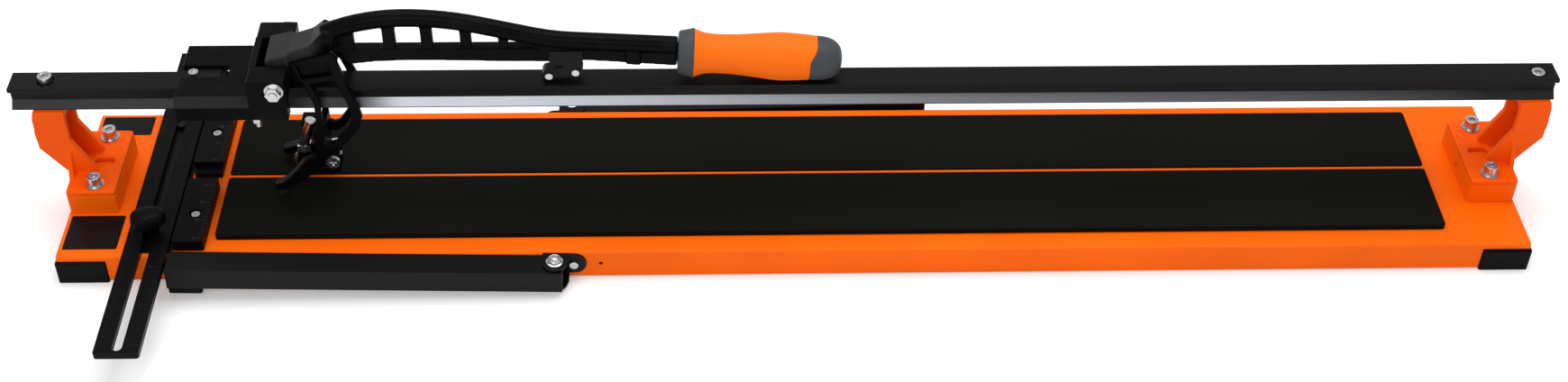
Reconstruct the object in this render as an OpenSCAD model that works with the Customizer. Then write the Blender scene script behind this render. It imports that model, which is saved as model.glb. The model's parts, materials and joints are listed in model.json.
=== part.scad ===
// Rail tile cutter: folded tray base, guide rail on two end brackets, sliding carriage with a
// lever, cutting wheel and breaker foot, side fence and two swing-out support arms.
// Lengths in millimetres. X runs along the rail, Y across the bed, Z up. X = 0 is the middle of
// the rail, Z = 0 the bench. Inside the modules Y = 0 is the cutting line.

/* [Base tray] */
// Length of the folded tray
base_len = 1389.6; // [1000:0.1:1600]
// Depth of the tray over its folded faces
base_depth = 210; // [180:0.5:280]
// Height of the tray's top face above the bench
base_h = 31.1; // [30:0.1:45]
// Sheet thickness of the tray
sheet_t = 2; // [1.5:0.1:2.4]
// Outer radius of the folded edges
bend_r = 3; // [2.6:0.1:4]
// Tray centre behind the cutting line (negative is to the front)
base_offset_y = -2; // [-6:0.5:6]
// Free height under the tray's folded edges
edge_lift = 1.3; // [1:0.1:2]
// Diameter of the small hole in the front face
front_hole_d = 4; // [3:0.1:6]
// Small hole to the right of the arm pivots' middle
front_hole_out = 39.3; // [36:0.1:60]
// Height of the small hole
front_hole_z = 16.7; // [14:0.1:20]

/* [Corner caps] */
// Length of a corner cap along the rail
cap_len = 45; // [30:0.5:55]
// Reach of a corner cap across the tray
cap_reach = 40; // [30:0.5:60]
// Wall of a corner cap
cap_t = 2.5; // [1.5:0.1:4]
// Height of a corner cap
cap_h = 26; // [18:0.5:28]

/* [Bed] */
// Gap between the stop plates and the pads
pad_in = 8; // [4:0.5:20]
// Distance from the pads to the tray's right end
pad_end = 77.7; // [66:0.1:120]
// Width of one pad
pad_w = 82.7; // [60:0.1:95]
// Thickness of the pads
pad_t = 6.2; // [4:0.1:9]
// Width of the gap between the pads
pad_gap = 5.1; // [4:0.1:10]
// Corner radius of the pads
pad_r = 3; // [1:0.5:8]
// Width of the breaking bar
bar_w = 4.5; // [3:0.1:4.8]
// Height of the breaking bar above the tray
bar_h = 5.6; // [3:0.1:6]

/* [Rail brackets] */
// Distance from a bracket foot to the tray's end
bracket_edge = 0.8; // [0:0.1:4]
// Length of the bracket foot along the rail
foot_len = 46; // [40:0.5:52]
// Width of the bracket foot across the tray
foot_w = 92; // [86:0.5:110]
// Height of the block under the foot
block_h = 21.2; // [14:0.1:30]
// Thickness of the foot plate
foot_plate_t = 5.2; // [4:0.1:8]
// Width of the bracket upright
upright_w = 36; // [30:0.5:42]
// Wall of the bracket upright
upright_t = 5.5; // [4:0.1:8]
// Reach of the upright past the bracket's centre
upright_reach = 47.6; // [44:0.1:48]
// Length of the adjusting slot in the foot
foot_slot_len = 20; // [14:0.5:24]
// Width of the adjusting slot in the foot
foot_slot_w = 10; // [6:0.5:12]
// Spacing of the two foot bolts
bolt_spacing = 70; // [64:0.5:76]
// Shank diameter of the bracket bolts and rail bolts
bolt_d = 8; // [6:0.5:9]
// Head diameter of the bracket bolts and rail bolts
bolt_head_d = 13; // [12:0.5:15]
// Head height of the bracket bolts and rail bolts
bolt_head_h = 8; // [5:0.5:10]

/* [Rail] */
// Length of the rail beyond its left bolt
rail_end_left = 33.2; // [28:0.1:60]
// Length of the rail beyond its right bolt
rail_end_right = 17.2; // [14:0.1:33]
// Width of the rail's flanges
rail_w = 26; // [22:0.2:30]
// Height of the rail
rail_h = 24.5; // [22:0.1:30]
// Width of the rail's web
rail_web = 12.4; // [9:0.2:14]
// Height of the rail's underside above the tray
rail_lift = 99.9; // [90:0.1:130]
// Diameter of the recess for a rail bolt
recess_d = 16; // [15.5:0.5:17]
// Distance of the rail bolts outside the bracket centres
rail_bolt_out = 31; // [28:0.5:33]
// Height at which the left rail bolt stands clear of its recess
left_bolt_raise = 6.5; // [0:0.5:10]

/* [Stops and fence] */
// Gap between the fence bar and the stop plates
stop_in = 4.05; // [2:0.05:8]
// Width of the stop plates
stop_w = 28.5; // [22:0.5:32]
// Thickness of the stop plates
stop_t = 11.9; // [6:0.1:16]
// Width of the fence bar
fence_w = 40.5; // [30:0.5:44]
// Thickness of the fence bar
fence_t = 6; // [4:0.5:8]
// Front end of the fence bar
fence_front = -240.5; // [-300:0.5:-160]
// Rear end of the fence bar
fence_rear = 196.5; // [150:0.5:260]
// Distance from the tray's left end to the fence bar's centre
fence_in = 83.5; // [74:0.1:84]
// Width of the slot in the fence bar
fence_slot_w = 9; // [8.6:0.1:14]
// Distance from the tray's front face to the fence stud
stud_in = 27; // [18:0.5:45]
// Diameter of the fence stud
stud_d = 8; // [5:0.5:8]
// Length of the oval knob
knob_len = 35; // [26:0.5:40]
// Width of the oval knob
knob_w = 30; // [22:0.5:34]
// Height of the knob above the fence bar
knob_h = 22.6; // [16:0.1:30]

/* [Support arms] */
// Gap between the fence bar and the end of a folded arm
arm_gap = 1.55; // [1:0.05:6]
// Length of an arm from its pivot to its outer end
arm_len = 358; // [250:1:358]
// Width of an arm
arm_w = 27; // [24:0.5:32]
// Height of an arm
arm_h = 22.5; // [18:0.5:23]
// Wall of an arm
arm_t = 2; // [1.5:0.1:3]
// Height of an arm's underside above the bench
arm_lift = 6.5; // [6:0.1:8]
// Lean of a folded arm, upwards to its outer end
arm_lean = 1.5; // [0:0.1:2]
// Distance of a pivot from the tray's face
pivot_out = 13; // [12:0.5:18]
// Diameter of the arm pivot bolts
arm_bolt_d = 8; // [6:0.5:10]
// Length of the black end foot
end_foot_len = 34; // [20:0.5:50]

/* [Carriage] */
// Distance from the tray's left end to the carriage
carriage_in = 119.8; // [108:0.1:170]
// Length of the carriage
carriage_len = 103; // [96:0.5:130]
// Width of the carriage
carriage_w = 92; // [88:0.5:110]
// Height of the carriage's top above the rail
carriage_rise = 10.5; // [9:0.1:16]
// Depth of the carriage's side walls below its top
carriage_drop = 22.3; // [16:0.1:30]
// Thickness of the carriage's side walls
carriage_wall = 12.8; // [8:0.1:13.3]
// Thickness of the carriage's top plate
carriage_top_t = 6; // [4:0.1:6.5]
// Bevel along the carriage's long edges
carriage_bevel = 7.2; // [3:0.1:9]
// Width of the slot in the carriage's top
top_slot_w = 17; // [12:0.5:20]
// Length of the slot in the carriage's top
top_slot_len = 44; // [30:0.5:48]
// Height of the clevis above the carriage's top
clevis_h = 22; // [18:0.5:28]
// Length of the clevis along the rail
clevis_len = 35.5; // [32:0.5:42]
// Wall that closes the clevis on the left
clevis_back = 6.5; // [4:0.1:9]
// Width between the clevis cheeks
clevis_gap = 44; // [42:0.5:50]
// Diameter of the lever's pivot bolt
pivot_d = 8; // [6:0.5:10]
// Diameter of the side bearings
bearing_d = 26; // [22:0.5:27]
// Width of the side bearings
bearing_w = 7; // [5:0.1:7.2]
// Diameter of the bearing axles
axle_d = 8; // [6:0.5:9]

/* [Lever] */
// Pivot to the left of the carriage's right end
pivot_in = 9; // [8:0.5:12]
// Pivot above the carriage's top
pivot_up = 12; // [11.5:0.1:14]
// Width of the lever's head
head_w = 40; // [38:0.5:41]
// Diameter of the lever's tube
tube_d = 16.5; // [14:0.1:18]
// Highest point of the tube to the right of the pivot
arch_top_x = 117; // [112:0.5:124]
// Highest point of the tube above the pivot
arch_top_z = 48; // [44:0.5:56]
// Radius of the tube's bend on the pivot side
arch_near_r = 175; // [165:1:190]
// Radius of the tube's bend on the grip side
arch_far_r = 270; // [250:1:300]
// Steepest fall of the tube
arch_fall = 14.5; // [13:0.1:15]
// Straight length between the tube's bends
arch_run = 49; // [44:0.5:54]
// Radius of the bend into the tail
tail_r = 200; // [180:1:240]
// Fall of the tail and of the grip
tail_fall = 3.5; // [3:0.1:4]
// Width of the lever's lower chord
chord_w = 13; // [10:0.5:15]
// Thickness of the lever's web
web_t = 7; // [4:0.5:9]
// Left end of the grip to the right of the pivot
grip_x = 367; // [360:0.5:385]
// Length of the grip's collar
collar_len = 16; // [12:0.5:20]
// Length of the grip's sleeve
sleeve_len = 112; // [90:0.5:130]
// Length of the grip's end cap
end_cap_len = 25; // [18:0.5:32]
// Diameter of the collar
collar_d = 46.6; // [40:0.2:52]
// Diameter of the tang inside the grip
tang_d = 16; // [12:0.5:20]

/* [Breaker] */
// Thickness of a yoke plate
yoke_t = 4.5; // [3:0.1:5]
// Diameter of the wheel holder's shank
shank_d = 10.5; // [9:0.1:11]
// Tilt of the shank from the vertical
shank_tilt = 20; // [18:0.5:22]
// Diameter of the cutting wheel
wheel_d = 22; // [20:0.5:22.5]
// Width of the cutting wheel
wheel_w = 5; // [3:0.1:6]
// Bore of the cutting wheel
wheel_bore = 3; // [2:0.1:6]
// Height of the wheel's centre below the pivot
wheel_down = 120; // [119:0.1:121]
// Height of the foot's hinge below the pivot
foot_down = 113; // [112.5:0.1:113.5]
// Diameter of the foot's hinge pin
foot_pin_d = 5; // [3:0.1:6]
// Distance of a foot tip from the cutting line
tip_out = 26; // [24:0.5:30]
// Diameter of a foot tip
tip_d = 12; // [8:0.5:14]
// Height of a rubber foot tip
tip_h = 6.1; // [4:0.1:6.2]

/* [Fits] */
// Radial running gap of a pin or shaft
run_gap = 0.05; // [0.02:0.01:0.1]
// Gap between pieces that slide past each other
slide_gap = 0.3; // [0.2:0.05:0.6]

/* [Hidden] */
$fn = 64;
CAPS = [[-1, -1], [1, -1], [-1, 1], [1, 1]];
BEARINGS = [[-1, -1], [1, -1], [-1, 1], [1, 1]];
eps = 0.5;

// The cutting line lies behind the middle of the whole machine, which the fence bar sets.
line_y = -(fence_front + fence_rear) / 2;

// Base. The rail runs further past its left bolt, so the tray's centre is right of the rail's.
base_offset_x = (rail_end_left - rail_end_right) / 2;
tray_left = base_offset_x - base_len / 2;
tray_right = base_offset_x + base_len / 2;
tray_front = base_offset_y - base_depth / 2;
tray_rear = base_offset_y + base_depth / 2;
tray_under = base_h - sheet_t;

// Small screws and caps
small_screw_d = 4;
small_head_d = 8;
small_head_h = 2.6;
cap_cut = 0.7;
cap_rib_in = 5;

// Brackets and rail
bracket_pitch = base_len / 2 - bracket_edge - foot_len / 2;
rail_len = 2 * (bracket_pitch + rail_bolt_out) + rail_end_left + rail_end_right;
block_top = base_h + block_h;
plate_top = block_top + foot_plate_t;
rail_z = base_h + rail_lift;
rail_top = rail_z + rail_h;
flange_t = 4;
lip_t = 0.6;
groove_low = 7.9;
groove_high = 15.5;
recess_z = rail_top - bolt_head_h;
bolt_gap = 0.1;
bolt_out = -3;
nut_h = 6.5;
nut_d = 15;
washer_d = 17.5;
washer_t = 3.2;
rail_bolt_depth = 12;
socket_w = 6.2;
foot_r = 2.5;
notch_w = 4;
rib_t = 5;
rib_reach = 10;
rib_h = 28;
toe_h = 5.5;
neck_h = 40;
lean_h = 32;
knee_h = 48;
seat_t = 8;
seat_left = 16;

// Fence, stops and pads
fence_x = tray_left + fence_in;
stud_y = -(tray_front + stud_in);
stop_left = fence_x + fence_w / 2 + stop_in;
stop_right = stop_left + stop_w;
pad_left = stop_right + pad_in;
pad_right = tray_right - pad_end;
slot_end = 4.5;
fence_z = base_h + slide_gap;
fence_top = fence_z + fence_t;
knob_z = fence_top + slide_gap;
stud_top = knob_z + knob_h * 0.55;
stem_d = 17;
stem_h = 8.6;
fence_cut = 2.4;
stud_foot_d = 14;
stud_foot_h = 4;
stop_gap = 14;
stop_r = 1.5;
stop_screw_y = 60;
stop_sink = 4;

// Arms
hinge_stagger = 3.5;
hinge_mid_x = fence_x + fence_w / 2 + arm_gap + hinge_stagger + arm_len;
front_hole_x = hinge_mid_x + front_hole_out;
ear_t = 1.8;
hinge_wall = 2.5;
tongue_r = pivot_out - hinge_wall - slide_gap;
arm_in = pivot_out - 1;
ear_low = arm_lift - slide_gap - ear_t;
ear_high = arm_lift + arm_h + slide_gap;
hinge_round = 11.5;
hinge_screw_x = 17.4;
hinge_screw_z = ear_low + 15;
ear_r = 12;
channel_end = 13;
foot_lift = 0.4;
arm_washer_t = 1.5;
arm_nut_w = 13;
hinge_end = tongue_r + 2.6;
arm_tail = pivot_out - hinge_wall - small_head_h - 0.5;
tail_y = 0.65 * tongue_r;
arm_nut_h = 4;

// Carriage and pivot
carriage_left = tray_left + carriage_in;
carriage_right = carriage_left + carriage_len;
carriage_top = rail_top + carriage_rise;
carriage_low = carriage_top - carriage_drop;
roof_z = carriage_top - carriage_top_t;
cavity_w = carriage_w - 2 * carriage_wall;
pivot_x = carriage_right - pivot_in;
pivot_z = carriage_top + pivot_up;
clevis_left = carriage_right + 1 - clevis_len;
bearing_y = rail_web / 2 + slide_gap + bearing_d / 2;
bearing_mid_z = rail_z + (groove_low + groove_high) / 2;
bearing_in = 20;
axle_head_h = 3.4;
boss_d = 11;
glide_w = 25;
glide_left = carriage_left + 4;
glide_len = 36;
clevis_bolt_x = carriage_right - 30;
clevis_bolt_y = carriage_w / 2 - 6.6;
clevis_bolt_d = 6;
pivot_nut_d = 17.5;
pivot_nut_h = 8;
pivot_head_h = 5.3;
pivot_nut_w = 13;
nut_flange_t = 1.8;
clevis_cut = 2.2;
clevis_nut_w = 10;
clevis_nut_h = 5;
clevis_bolt_len = 24;
bearing_cut = 0.5;
glide_step = 2;
glide_floor = 1.6;
glide_screw_x = 7;
glide_screw_d = 5;
glide_head_h = 3.4;

// Lever, measured from the pivot
boss_r = pivot_up - 1;
near_angle = 25;
near_x = arch_top_x - arch_near_r * sin(near_angle);
near_z = arch_top_z - arch_near_r * (1 - cos(near_angle));
far_x = arch_top_x + arch_far_r * sin(arch_fall);
far_z = arch_top_z - arch_far_r * (1 - cos(arch_fall));
run_x = far_x + arch_run * cos(arch_fall);
run_z = far_z - arch_run * sin(arch_fall);
tail_x = run_x + tail_r * (sin(arch_fall) - sin(tail_fall));
tail_z = run_z - tail_r * (cos(tail_fall) - cos(arch_fall));
end_z = tail_z - (grip_x - tail_x) * tan(tail_fall);
grip_drop = 8.2;
grip_z = end_z - grip_drop;
sleeve_at = collar_len;
cap_at = collar_len + sleeve_len;
sleeve_flare = 22.5;
sleeve_waist = 19.1;
sleeve_belly = 22.7;
sleeve_end = 20.9;
tang_gap = 0.1;
tube_sides = 24;
tube_steps = 32;
web_steps = 24;
windows = [[70, 96], [108, 131], [142, 167], [177.5, 202], [211, 233.5]];
window_z = 16;
web_in = 4;
web_root = [48, 16];
chord_low = [
  [62, -1], [88, 2.3], [119, 3.4], [165, 2.7], [211, 1.3], [247, 1], [282, 0], [320, -3], [grip_x - 1.2, -7]
];
chord_blocks = [[48, 247, window_z], [247, 276, 40], [319, 332, 40]];
head_h = 14;
head_top = [[11.5, 20], [31, 27]];
head_low = [[near_x + 6, 17], [24, 13]];
head_core = [[9, -7], [12, -15], [46, -15], [51, -4], [47, 14], [9, 8]];

// Breaker, measured from the pivot
yoke_in = head_w / 2 - yoke_t;
head_side = [
  [-head_w / 2, head_w / 2], [10.7, head_w / 2], [10.7, yoke_in], [31, yoke_in], [58, tube_d / 2]
];
wheel_x = 6;
cross_left = 21;
cross_right = 32;
cross_low = -106;
cross_high = -74;
knuckle_x = 23;
knuckle_len = 6;
knuckle_r = 6;
fork_w = 10.4;
fork_gap = wheel_w / 2 + slide_gap;
cross_lug_x = 8;
cross_lug_h = 14;
shank_len = 31;
fork_high = 19;
fork_r = 6.5;
wheel_hub_in = 3.4;
wheel_rim_in = 2.4;
foot_left = 18.5;
foot_right = 41;
foot_half = 12;
foot_low = -128;
foot_high = -107.5;
foot_screw_x = 35.4;
foot_head_d = 13.5;
foot_head_h = 3;
tip_x = -14;
wing_low = -132;
wing_plan = [
  [24, -12], [13, -13.6], [8, -19], [-1, -26.4], [-10, -31], [-18, -31.6], [-20, -26], [-18, -22.4],
  [-8, -21], [1, -15.6], [6, -8.8], [14, -7], [24, -7]
];
wing_side = [
  [24, -107.5], [16, -107.5], [8, -109.8], [0, -116], [-8, -121.5], [-14, -124.6], [-21, -126.6],
  [-21, wing_low], [-6, wing_low], [18.5, -128], [24, -128]
];
yoke_edge = [
  [10.8, 10], [48.3, 21.4], [52, 20], [53.8, 16.3], [57.8, 2], [60.8, -18], [69, -41], [71, -52.3],
  [66, -66], [53, -83.2], [45, -92], [40, -96.5], [36, -97.5], [26, -97.5], [22.8, -94.5], [24, -83],
  [27.7, -62.2], [27.3, -35.3], [19.7, -11.2], [11.3, 5]
];
yoke_upper_window = [[17, 8], [46, 12.8], [48.7, -2.9], [20.4, -8.2]];
yoke_lower_window = [
  [27, -13.5], [50, -9.5], [53.5, -20], [60, -42], [60.4, -52], [57, -62], [47, -77], [41, -85],
  [36, -87], [32, -85], [32.4, -62], [34, -36]
];

// Rest link
link_pivot = [271.7, -10];
link_len = 25.7;
link_r = 7;
link_angle = 192.4;
link_half = 6.2;
clip_left = 23.7;
clip_len = 31;
clip_h = 16;
clip_r = 6;
rivet_head_h = 1.6;
ear_plate = 1.5;
rivet_d = 4;

module at_line() { translate([0, line_y, 0]) children(); }
module at_pivot() { at_line() translate([pivot_x, 0, pivot_z]) children(); }

// A flat outline in X and Z, as thick as w and centred on the cutting line
module side_plate(w) { rotate([90, 0, 0]) translate([0, 0, -w / 2]) linear_extrude(w) children(); }
// An outline in Y and Z drawn along X from x0 over a length
module along_x(x0, len) { translate([x0, 0, 0]) rotate([90, 0, 90]) linear_extrude(len) children(); }
module box(a, b) { translate(a) cube(b - a); }
module rod_y(d, y0, y1) { translate([0, y1, 0]) rotate([90, 0, 0]) cylinder(h = y1 - y0, d = d); }
module rod_x(d, x0, x1) { translate([x0, 0, 0]) rotate([0, 90, 0]) cylinder(h = x1 - x0, d = d); }
module hex(across, h) { cylinder(h = h, d = across / cos(30), $fn = 6); }
module slab(a, b, r) {
  translate([(a[0] + b[0]) / 2, (a[1] + b[1]) / 2, a[2]]) linear_extrude(b[2] - a[2])
    rounded_rect(b[0] - a[0], b[1] - a[1], r);
}
module rounded_rect(w, h, r) {
  square([w - 2 * r, h], center = true);
  square([w, h - 2 * r], center = true);
  for (i = [-1, 1], j = [-1, 1]) translate([i * (w / 2 - r), j * (h / 2 - r)]) circle(r);
}
module cross_2d(len, w) {
  square([len, w], center = true);
  square([w, len], center = true);
}
module slot_2d(len, w) {
  square([len - w, w], center = true);
  for (i = [-1, 1]) translate([i * (len - w) / 2, 0]) circle(d = w);
}

// ---- Base ----

// Fold of the tray across X: a top sheet with rounded bends and two hanging faces
module tray_fold(y0, y1, top, low, r) {
  difference() {
    union() {
      translate([y0, low]) square([y1 - y0, top - r - low]);
      translate([y0 + r, low]) square([y1 - y0 - 2 * r, top - low]);
      for (y = [y0 + r, y1 - r]) translate([y, top - r]) circle(r);
    }
    children();
  }
}
module base_tray() color("darkorange") at_line() difference() {
  union() {
    along_x(tray_left, base_len) tray_fold(tray_front, tray_rear, base_h, edge_lift, bend_r)
      translate([tray_front + sheet_t, edge_lift - eps])
        square([base_depth - 2 * sheet_t, tray_under - edge_lift + eps]);
    for (x = [tray_left, tray_right - sheet_t])
      box([x, tray_front + sheet_t / 2, edge_lift],
        [x + sheet_t, tray_rear - sheet_t / 2, tray_under + sheet_t / 2]);
  }
  bracket_holes(tray_under - eps, base_h + eps);
  for (y = [-stud_y, stud_y]) translate([fence_x, y, tray_under - eps])
    cylinder(h = sheet_t + 2 * eps, d = stud_d + 2 * bolt_gap);
  stop_screws_at() translate([0, 0, tray_under - eps])
    cylinder(h = sheet_t + 2 * eps, d = small_screw_d + 2 * bolt_gap);
  translate([front_hole_x, 0, front_hole_z])
    rod_y(front_hole_d, tray_front - eps, tray_front + sheet_t + eps);
  for (s = [-1, 1]) arm_side(s) translate([hinge_screw_x, 0, hinge_screw_z])
    rod_y(small_screw_d + 2 * bolt_gap, pivot_out - eps, pivot_out + sheet_t + eps);
}
module bracket_holes(z0, z1) {
  for (s = [-1, 1], j = [-1, 1])
    translate([base_offset_x + s * (bracket_pitch + bolt_out), j * bolt_spacing / 2, z0])
      cylinder(h = z1 - z0, d = bolt_d + 2 * bolt_gap);
}
module breaking_bar() color("darkorange") at_line() along_x(pad_left, pad_right - pad_left) union() {
  translate([-bar_w / 2, base_h]) square([bar_w, bar_h - bar_w / 2]);
  translate([0, base_h + bar_h - bar_w / 2]) circle(d = bar_w);
}
module pad(s) color("dimgray") at_line() {
  y0 = s > 0 ? pad_gap / 2 : -pad_gap / 2 - pad_w;
  slab([pad_left, y0, base_h], [pad_right, y0 + pad_w, base_h + pad_t], pad_r);
}
module front_pad() pad(-1);
module rear_pad() pad(1);

// Wedge that takes the outer top edge off a cap's wall
module cap_chamfer() polygon([
  [-2 * cap_t, cap_h - 2 * cap_t - cap_cut], [cap_cut, cap_h], [cap_cut, cap_h + 1], [-2 * cap_t, cap_h + 1]
]);
// Moulded cap: an outer wall round the corner, a floor below the folded edge and an inner rib
module corner_cap(c) color("black") at_line() {
  x = c[0] > 0 ? tray_right : tray_left;
  y = c[1] > 0 ? tray_rear : tray_front;
  translate([x, y, 0]) mirror([c[0] > 0 ? 1 : 0, 0, 0]) mirror([0, c[1] > 0 ? 1 : 0, 0]) {
    difference() {
      slab([-cap_t, -cap_t, 0], [cap_len, cap_reach, cap_h], cap_t);
      box([0, 0, edge_lift], [cap_len + eps, cap_reach + eps, cap_h + eps]);
      along_x(-2 * cap_t, cap_len + 4 * cap_t) cap_chamfer();
      mirror([1, -1, 0]) along_x(-2 * cap_t, cap_reach + 4 * cap_t) cap_chamfer();
    }
    box([sheet_t, sheet_t, edge_lift], [cap_len - cap_rib_in, sheet_t + cap_t, cap_h - cap_rib_in]);
    box([sheet_t, sheet_t + cap_t, edge_lift],
      [sheet_t + cap_t, cap_reach - cap_rib_in, cap_h - cap_rib_in]);
  }
}

// ---- Brackets and rail ----

module bracket_side(s) {
  at_line() translate([base_offset_x + s * bracket_pitch, 0, 0]) mirror([s > 0 ? 0 : 1, 0, 0]) children();
}
// Bolt positions of one bracket, in the bracket's own frame
module bolts_at() { for (j = [-1, 1]) translate([bolt_out, j * bolt_spacing / 2, 0]) children(); }
module block(s) color("darkorange") bracket_side(s) difference() {
  slab([-foot_len / 2, -foot_w / 2, base_h], [foot_len / 2, foot_w / 2, block_top], foot_r);
  bolts_at() translate([0, 0, base_h - eps]) cylinder(h = block_h + 2 * eps, d = bolt_d + 2 * bolt_gap);
  box([-foot_len / 2 - eps, -notch_w / 2, base_h + notch_w],
    [-foot_len / 2 + notch_w - 1, notch_w / 2, base_h + 3 * notch_w]);
}
module left_block() block(-1);
module right_block() block(1);

// Casting: foot plate, hollow upright that leans out to the rail, and a small front buttress
module bracket(s) color("darkorange") bracket_side(s) difference() {
  union() {
    slab([-foot_len / 2, -foot_w / 2, block_top], [foot_len / 2, foot_w / 2, plate_top], foot_r);
    side_plate(upright_w) upright_outline();
    for (j = [-1, 1]) mirror([0, j > 0 ? 1 : 0, 0]) hull() {
      box([foot_len / 2 - rib_t, -upright_w / 2 - rib_reach, plate_top - 1],
        [foot_len / 2, -upright_w / 2 + 1, plate_top]);
      box([foot_len / 2 - rib_t, -upright_w / 2 - 1, plate_top + rib_h - 2],
        [foot_len / 2, -upright_w / 2 + 1, plate_top + rib_h]);
    }
  }
  side_plate(upright_w - 2 * upright_t) polygon([
    [-foot_len, plate_top], [foot_len / 2 - upright_t, plate_top],
    [upright_reach - 2 - upright_t, plate_top + lean_h], [upright_reach - upright_t, plate_top + knee_h],
    [upright_reach - 4 - upright_t, rail_z - seat_t], [-foot_len, rail_z - seat_t]
  ]);
  bolts_at() translate([0, 0, block_top - eps])
    cylinder(h = foot_plate_t + 2 * eps, d = bolt_d + 2 * bolt_gap);
  translate([-4, 0, block_top - eps]) linear_extrude(foot_plate_t + 2 * eps)
    slot_2d(foot_slot_len, foot_slot_w);
  translate([rail_bolt_out, 0, rail_z - rail_bolt_depth])
    cylinder(h = rail_bolt_depth + eps, d = bolt_d + 2 * bolt_gap);
}
module upright_outline() polygon([
  [-2, plate_top - 1], [-2, plate_top + toe_h], [seat_left, plate_top + neck_h], [seat_left, rail_z],
  [upright_reach - 2.6, rail_z], [upright_reach - 0.6, rail_z - seat_t - 1],
  [upright_reach, plate_top + knee_h - 1], [upright_reach - 0.6, plate_top + lean_h - 1],
  [foot_len / 2, plate_top - 1]
]);
module left_bracket() bracket(-1);
module right_bracket() bracket(1);

module socket_bolt(len, up) {
  difference() {
    union() {
      translate([0, 0, up]) cylinder(h = bolt_head_h, d = bolt_head_d);
      translate([0, 0, up - len]) cylinder(h = len, d = bolt_d);
    }
    translate([0, 0, up + bolt_head_h / 2]) hex(socket_w, bolt_head_h);
  }
}
module bracket_bolts() color("silver") for (s = [-1, 1]) bracket_side(s) bolts_at()
  socket_bolt(plate_top + washer_t - tray_under + nut_h + 1, plate_top + washer_t);
module bracket_washers() color("gainsboro") for (s = [-1, 1]) bracket_side(s) bolts_at()
  translate([0, 0, plate_top]) difference() {
    union() {
      cylinder(h = washer_t / 2, d = washer_d);
      cylinder(h = washer_t, d = bolt_head_d + 1);
    }
    translate([0, 0, -eps]) cylinder(h = washer_t + 2 * eps, d = bolt_d + 2 * bolt_gap);
  }
module bracket_nuts() color("silver") for (s = [-1, 1]) bracket_side(s) bolts_at()
  translate([0, 0, tray_under - nut_h]) difference() {
    hex(nut_d - 2, nut_h);
    translate([0, 0, -eps]) cylinder(h = nut_h + 2 * eps, d = bolt_d + 2 * bolt_gap);
  }

module rail_outline() {
  w = rail_w / 2;
  b = rail_web / 2;
  right = [
    [w - 0.3, 0], [w - 0.3, lip_t], [b, groove_low], [b, groove_high], [w, rail_h - flange_t], [w, rail_h]
  ];
  left = [for (i = [len(right) - 1:-1:0]) [-right[i][0], right[i][1]]];
  translate([0, rail_z]) polygon(concat(right, left));
}
module rail() color("black") at_line() difference() {
  along_x(-rail_len / 2, rail_len) rail_outline();
  for (s = [-1, 1]) translate([base_offset_x + s * (bracket_pitch + rail_bolt_out), 0, 0]) {
    translate([0, 0, recess_z]) cylinder(h = bolt_head_h + eps, d = recess_d);
    translate([0, 0, rail_z - eps]) cylinder(h = rail_h, d = bolt_d + 2 * bolt_gap);
  }
}
module rail_bolts() color("silver") for (s = [-1, 1]) {
  up = s > 0 ? recess_z : recess_z + left_bolt_raise;
  bracket_side(s) translate([rail_bolt_out, 0, 0]) socket_bolt(up - rail_z + rail_bolt_depth - 2, up);
}

// ---- Stops and fence ----

module stop_screws_at() {
  for (j = [-1, 1]) translate([(stop_left + stop_right) / 2 + 1, j * stop_screw_y, 0]) children();
}
module stop_screw_cut() {
  stop_screws_at() {
    translate([0, 0, base_h - eps]) cylinder(h = stop_t + 2 * eps, d = small_screw_d + 2 * bolt_gap);
    translate([0, 0, base_h + stop_t - stop_sink]) cylinder(h = stop_sink + eps, d = small_head_d + 3);
  }
}
module front_stop_plate() color("dimgray") at_line() difference() {
  slab([stop_left, tray_front + 7, base_h], [stop_right, -stop_gap + 4.5, base_h + stop_t], stop_r);
  stop_screw_cut();
}
module rear_stop_plate() color("dimgray") at_line() difference() {
  union() {
    slab([stop_left, stop_gap, base_h], [stop_right, tray_rear - 3, base_h + stop_t], stop_r);
    slab([stop_left + 2, stop_gap - 10, base_h], [stop_right, stop_gap + 2, base_h + stop_t / 2], stop_r);
  }
  stop_screw_cut();
}
module stop_plate_screws() color("silver") at_line() stop_screws_at() {
  translate([0, 0, base_h + stop_t - stop_sink]) difference() {
    cylinder(h = small_head_h, d = small_head_d);
    translate([0, 0, small_head_h / 2]) linear_extrude(small_head_h) cross_2d(0.55 * small_head_d, 1);
  }
  translate([0, 0, tray_under - stop_sink])
    cylinder(h = base_h + stop_t - tray_under, d = small_screw_d);
}
module fence_stud() color("silver") at_line() translate([fence_x, -stud_y, 0]) {
  translate([0, 0, tray_under - stud_foot_h]) cylinder(h = stud_foot_h, d = stud_foot_d);
  translate([0, 0, tray_under]) cylinder(h = stud_top - tray_under, d = stud_d);
}
module fence_guide_pin() color("silver") at_line() translate([fence_x, stud_y, 0]) {
  translate([0, 0, tray_under - stud_foot_h]) cylinder(h = stud_foot_h, d = stud_foot_d);
  translate([0, 0, tray_under]) cylinder(h = fence_top - 0.8 - tray_under, d = stud_d);
}
module fence_bar() color("black") at_line() difference() {
  slab([fence_x - fence_w / 2, fence_front, fence_z], [fence_x + fence_w / 2, fence_rear, fence_top], 3);
  translate([fence_x, (fence_front + fence_rear) / 2, fence_z - eps]) rotate(90)
    linear_extrude(fence_t + 2 * eps) slot_2d(fence_rear - fence_front - 2 * slot_end, fence_slot_w);
  for (y = [fence_front, fence_rear]) translate([fence_x, y, fence_top]) rotate([45, 0, 0])
    cube([2 * fence_w, fence_cut, fence_cut], center = true);
}
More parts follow.
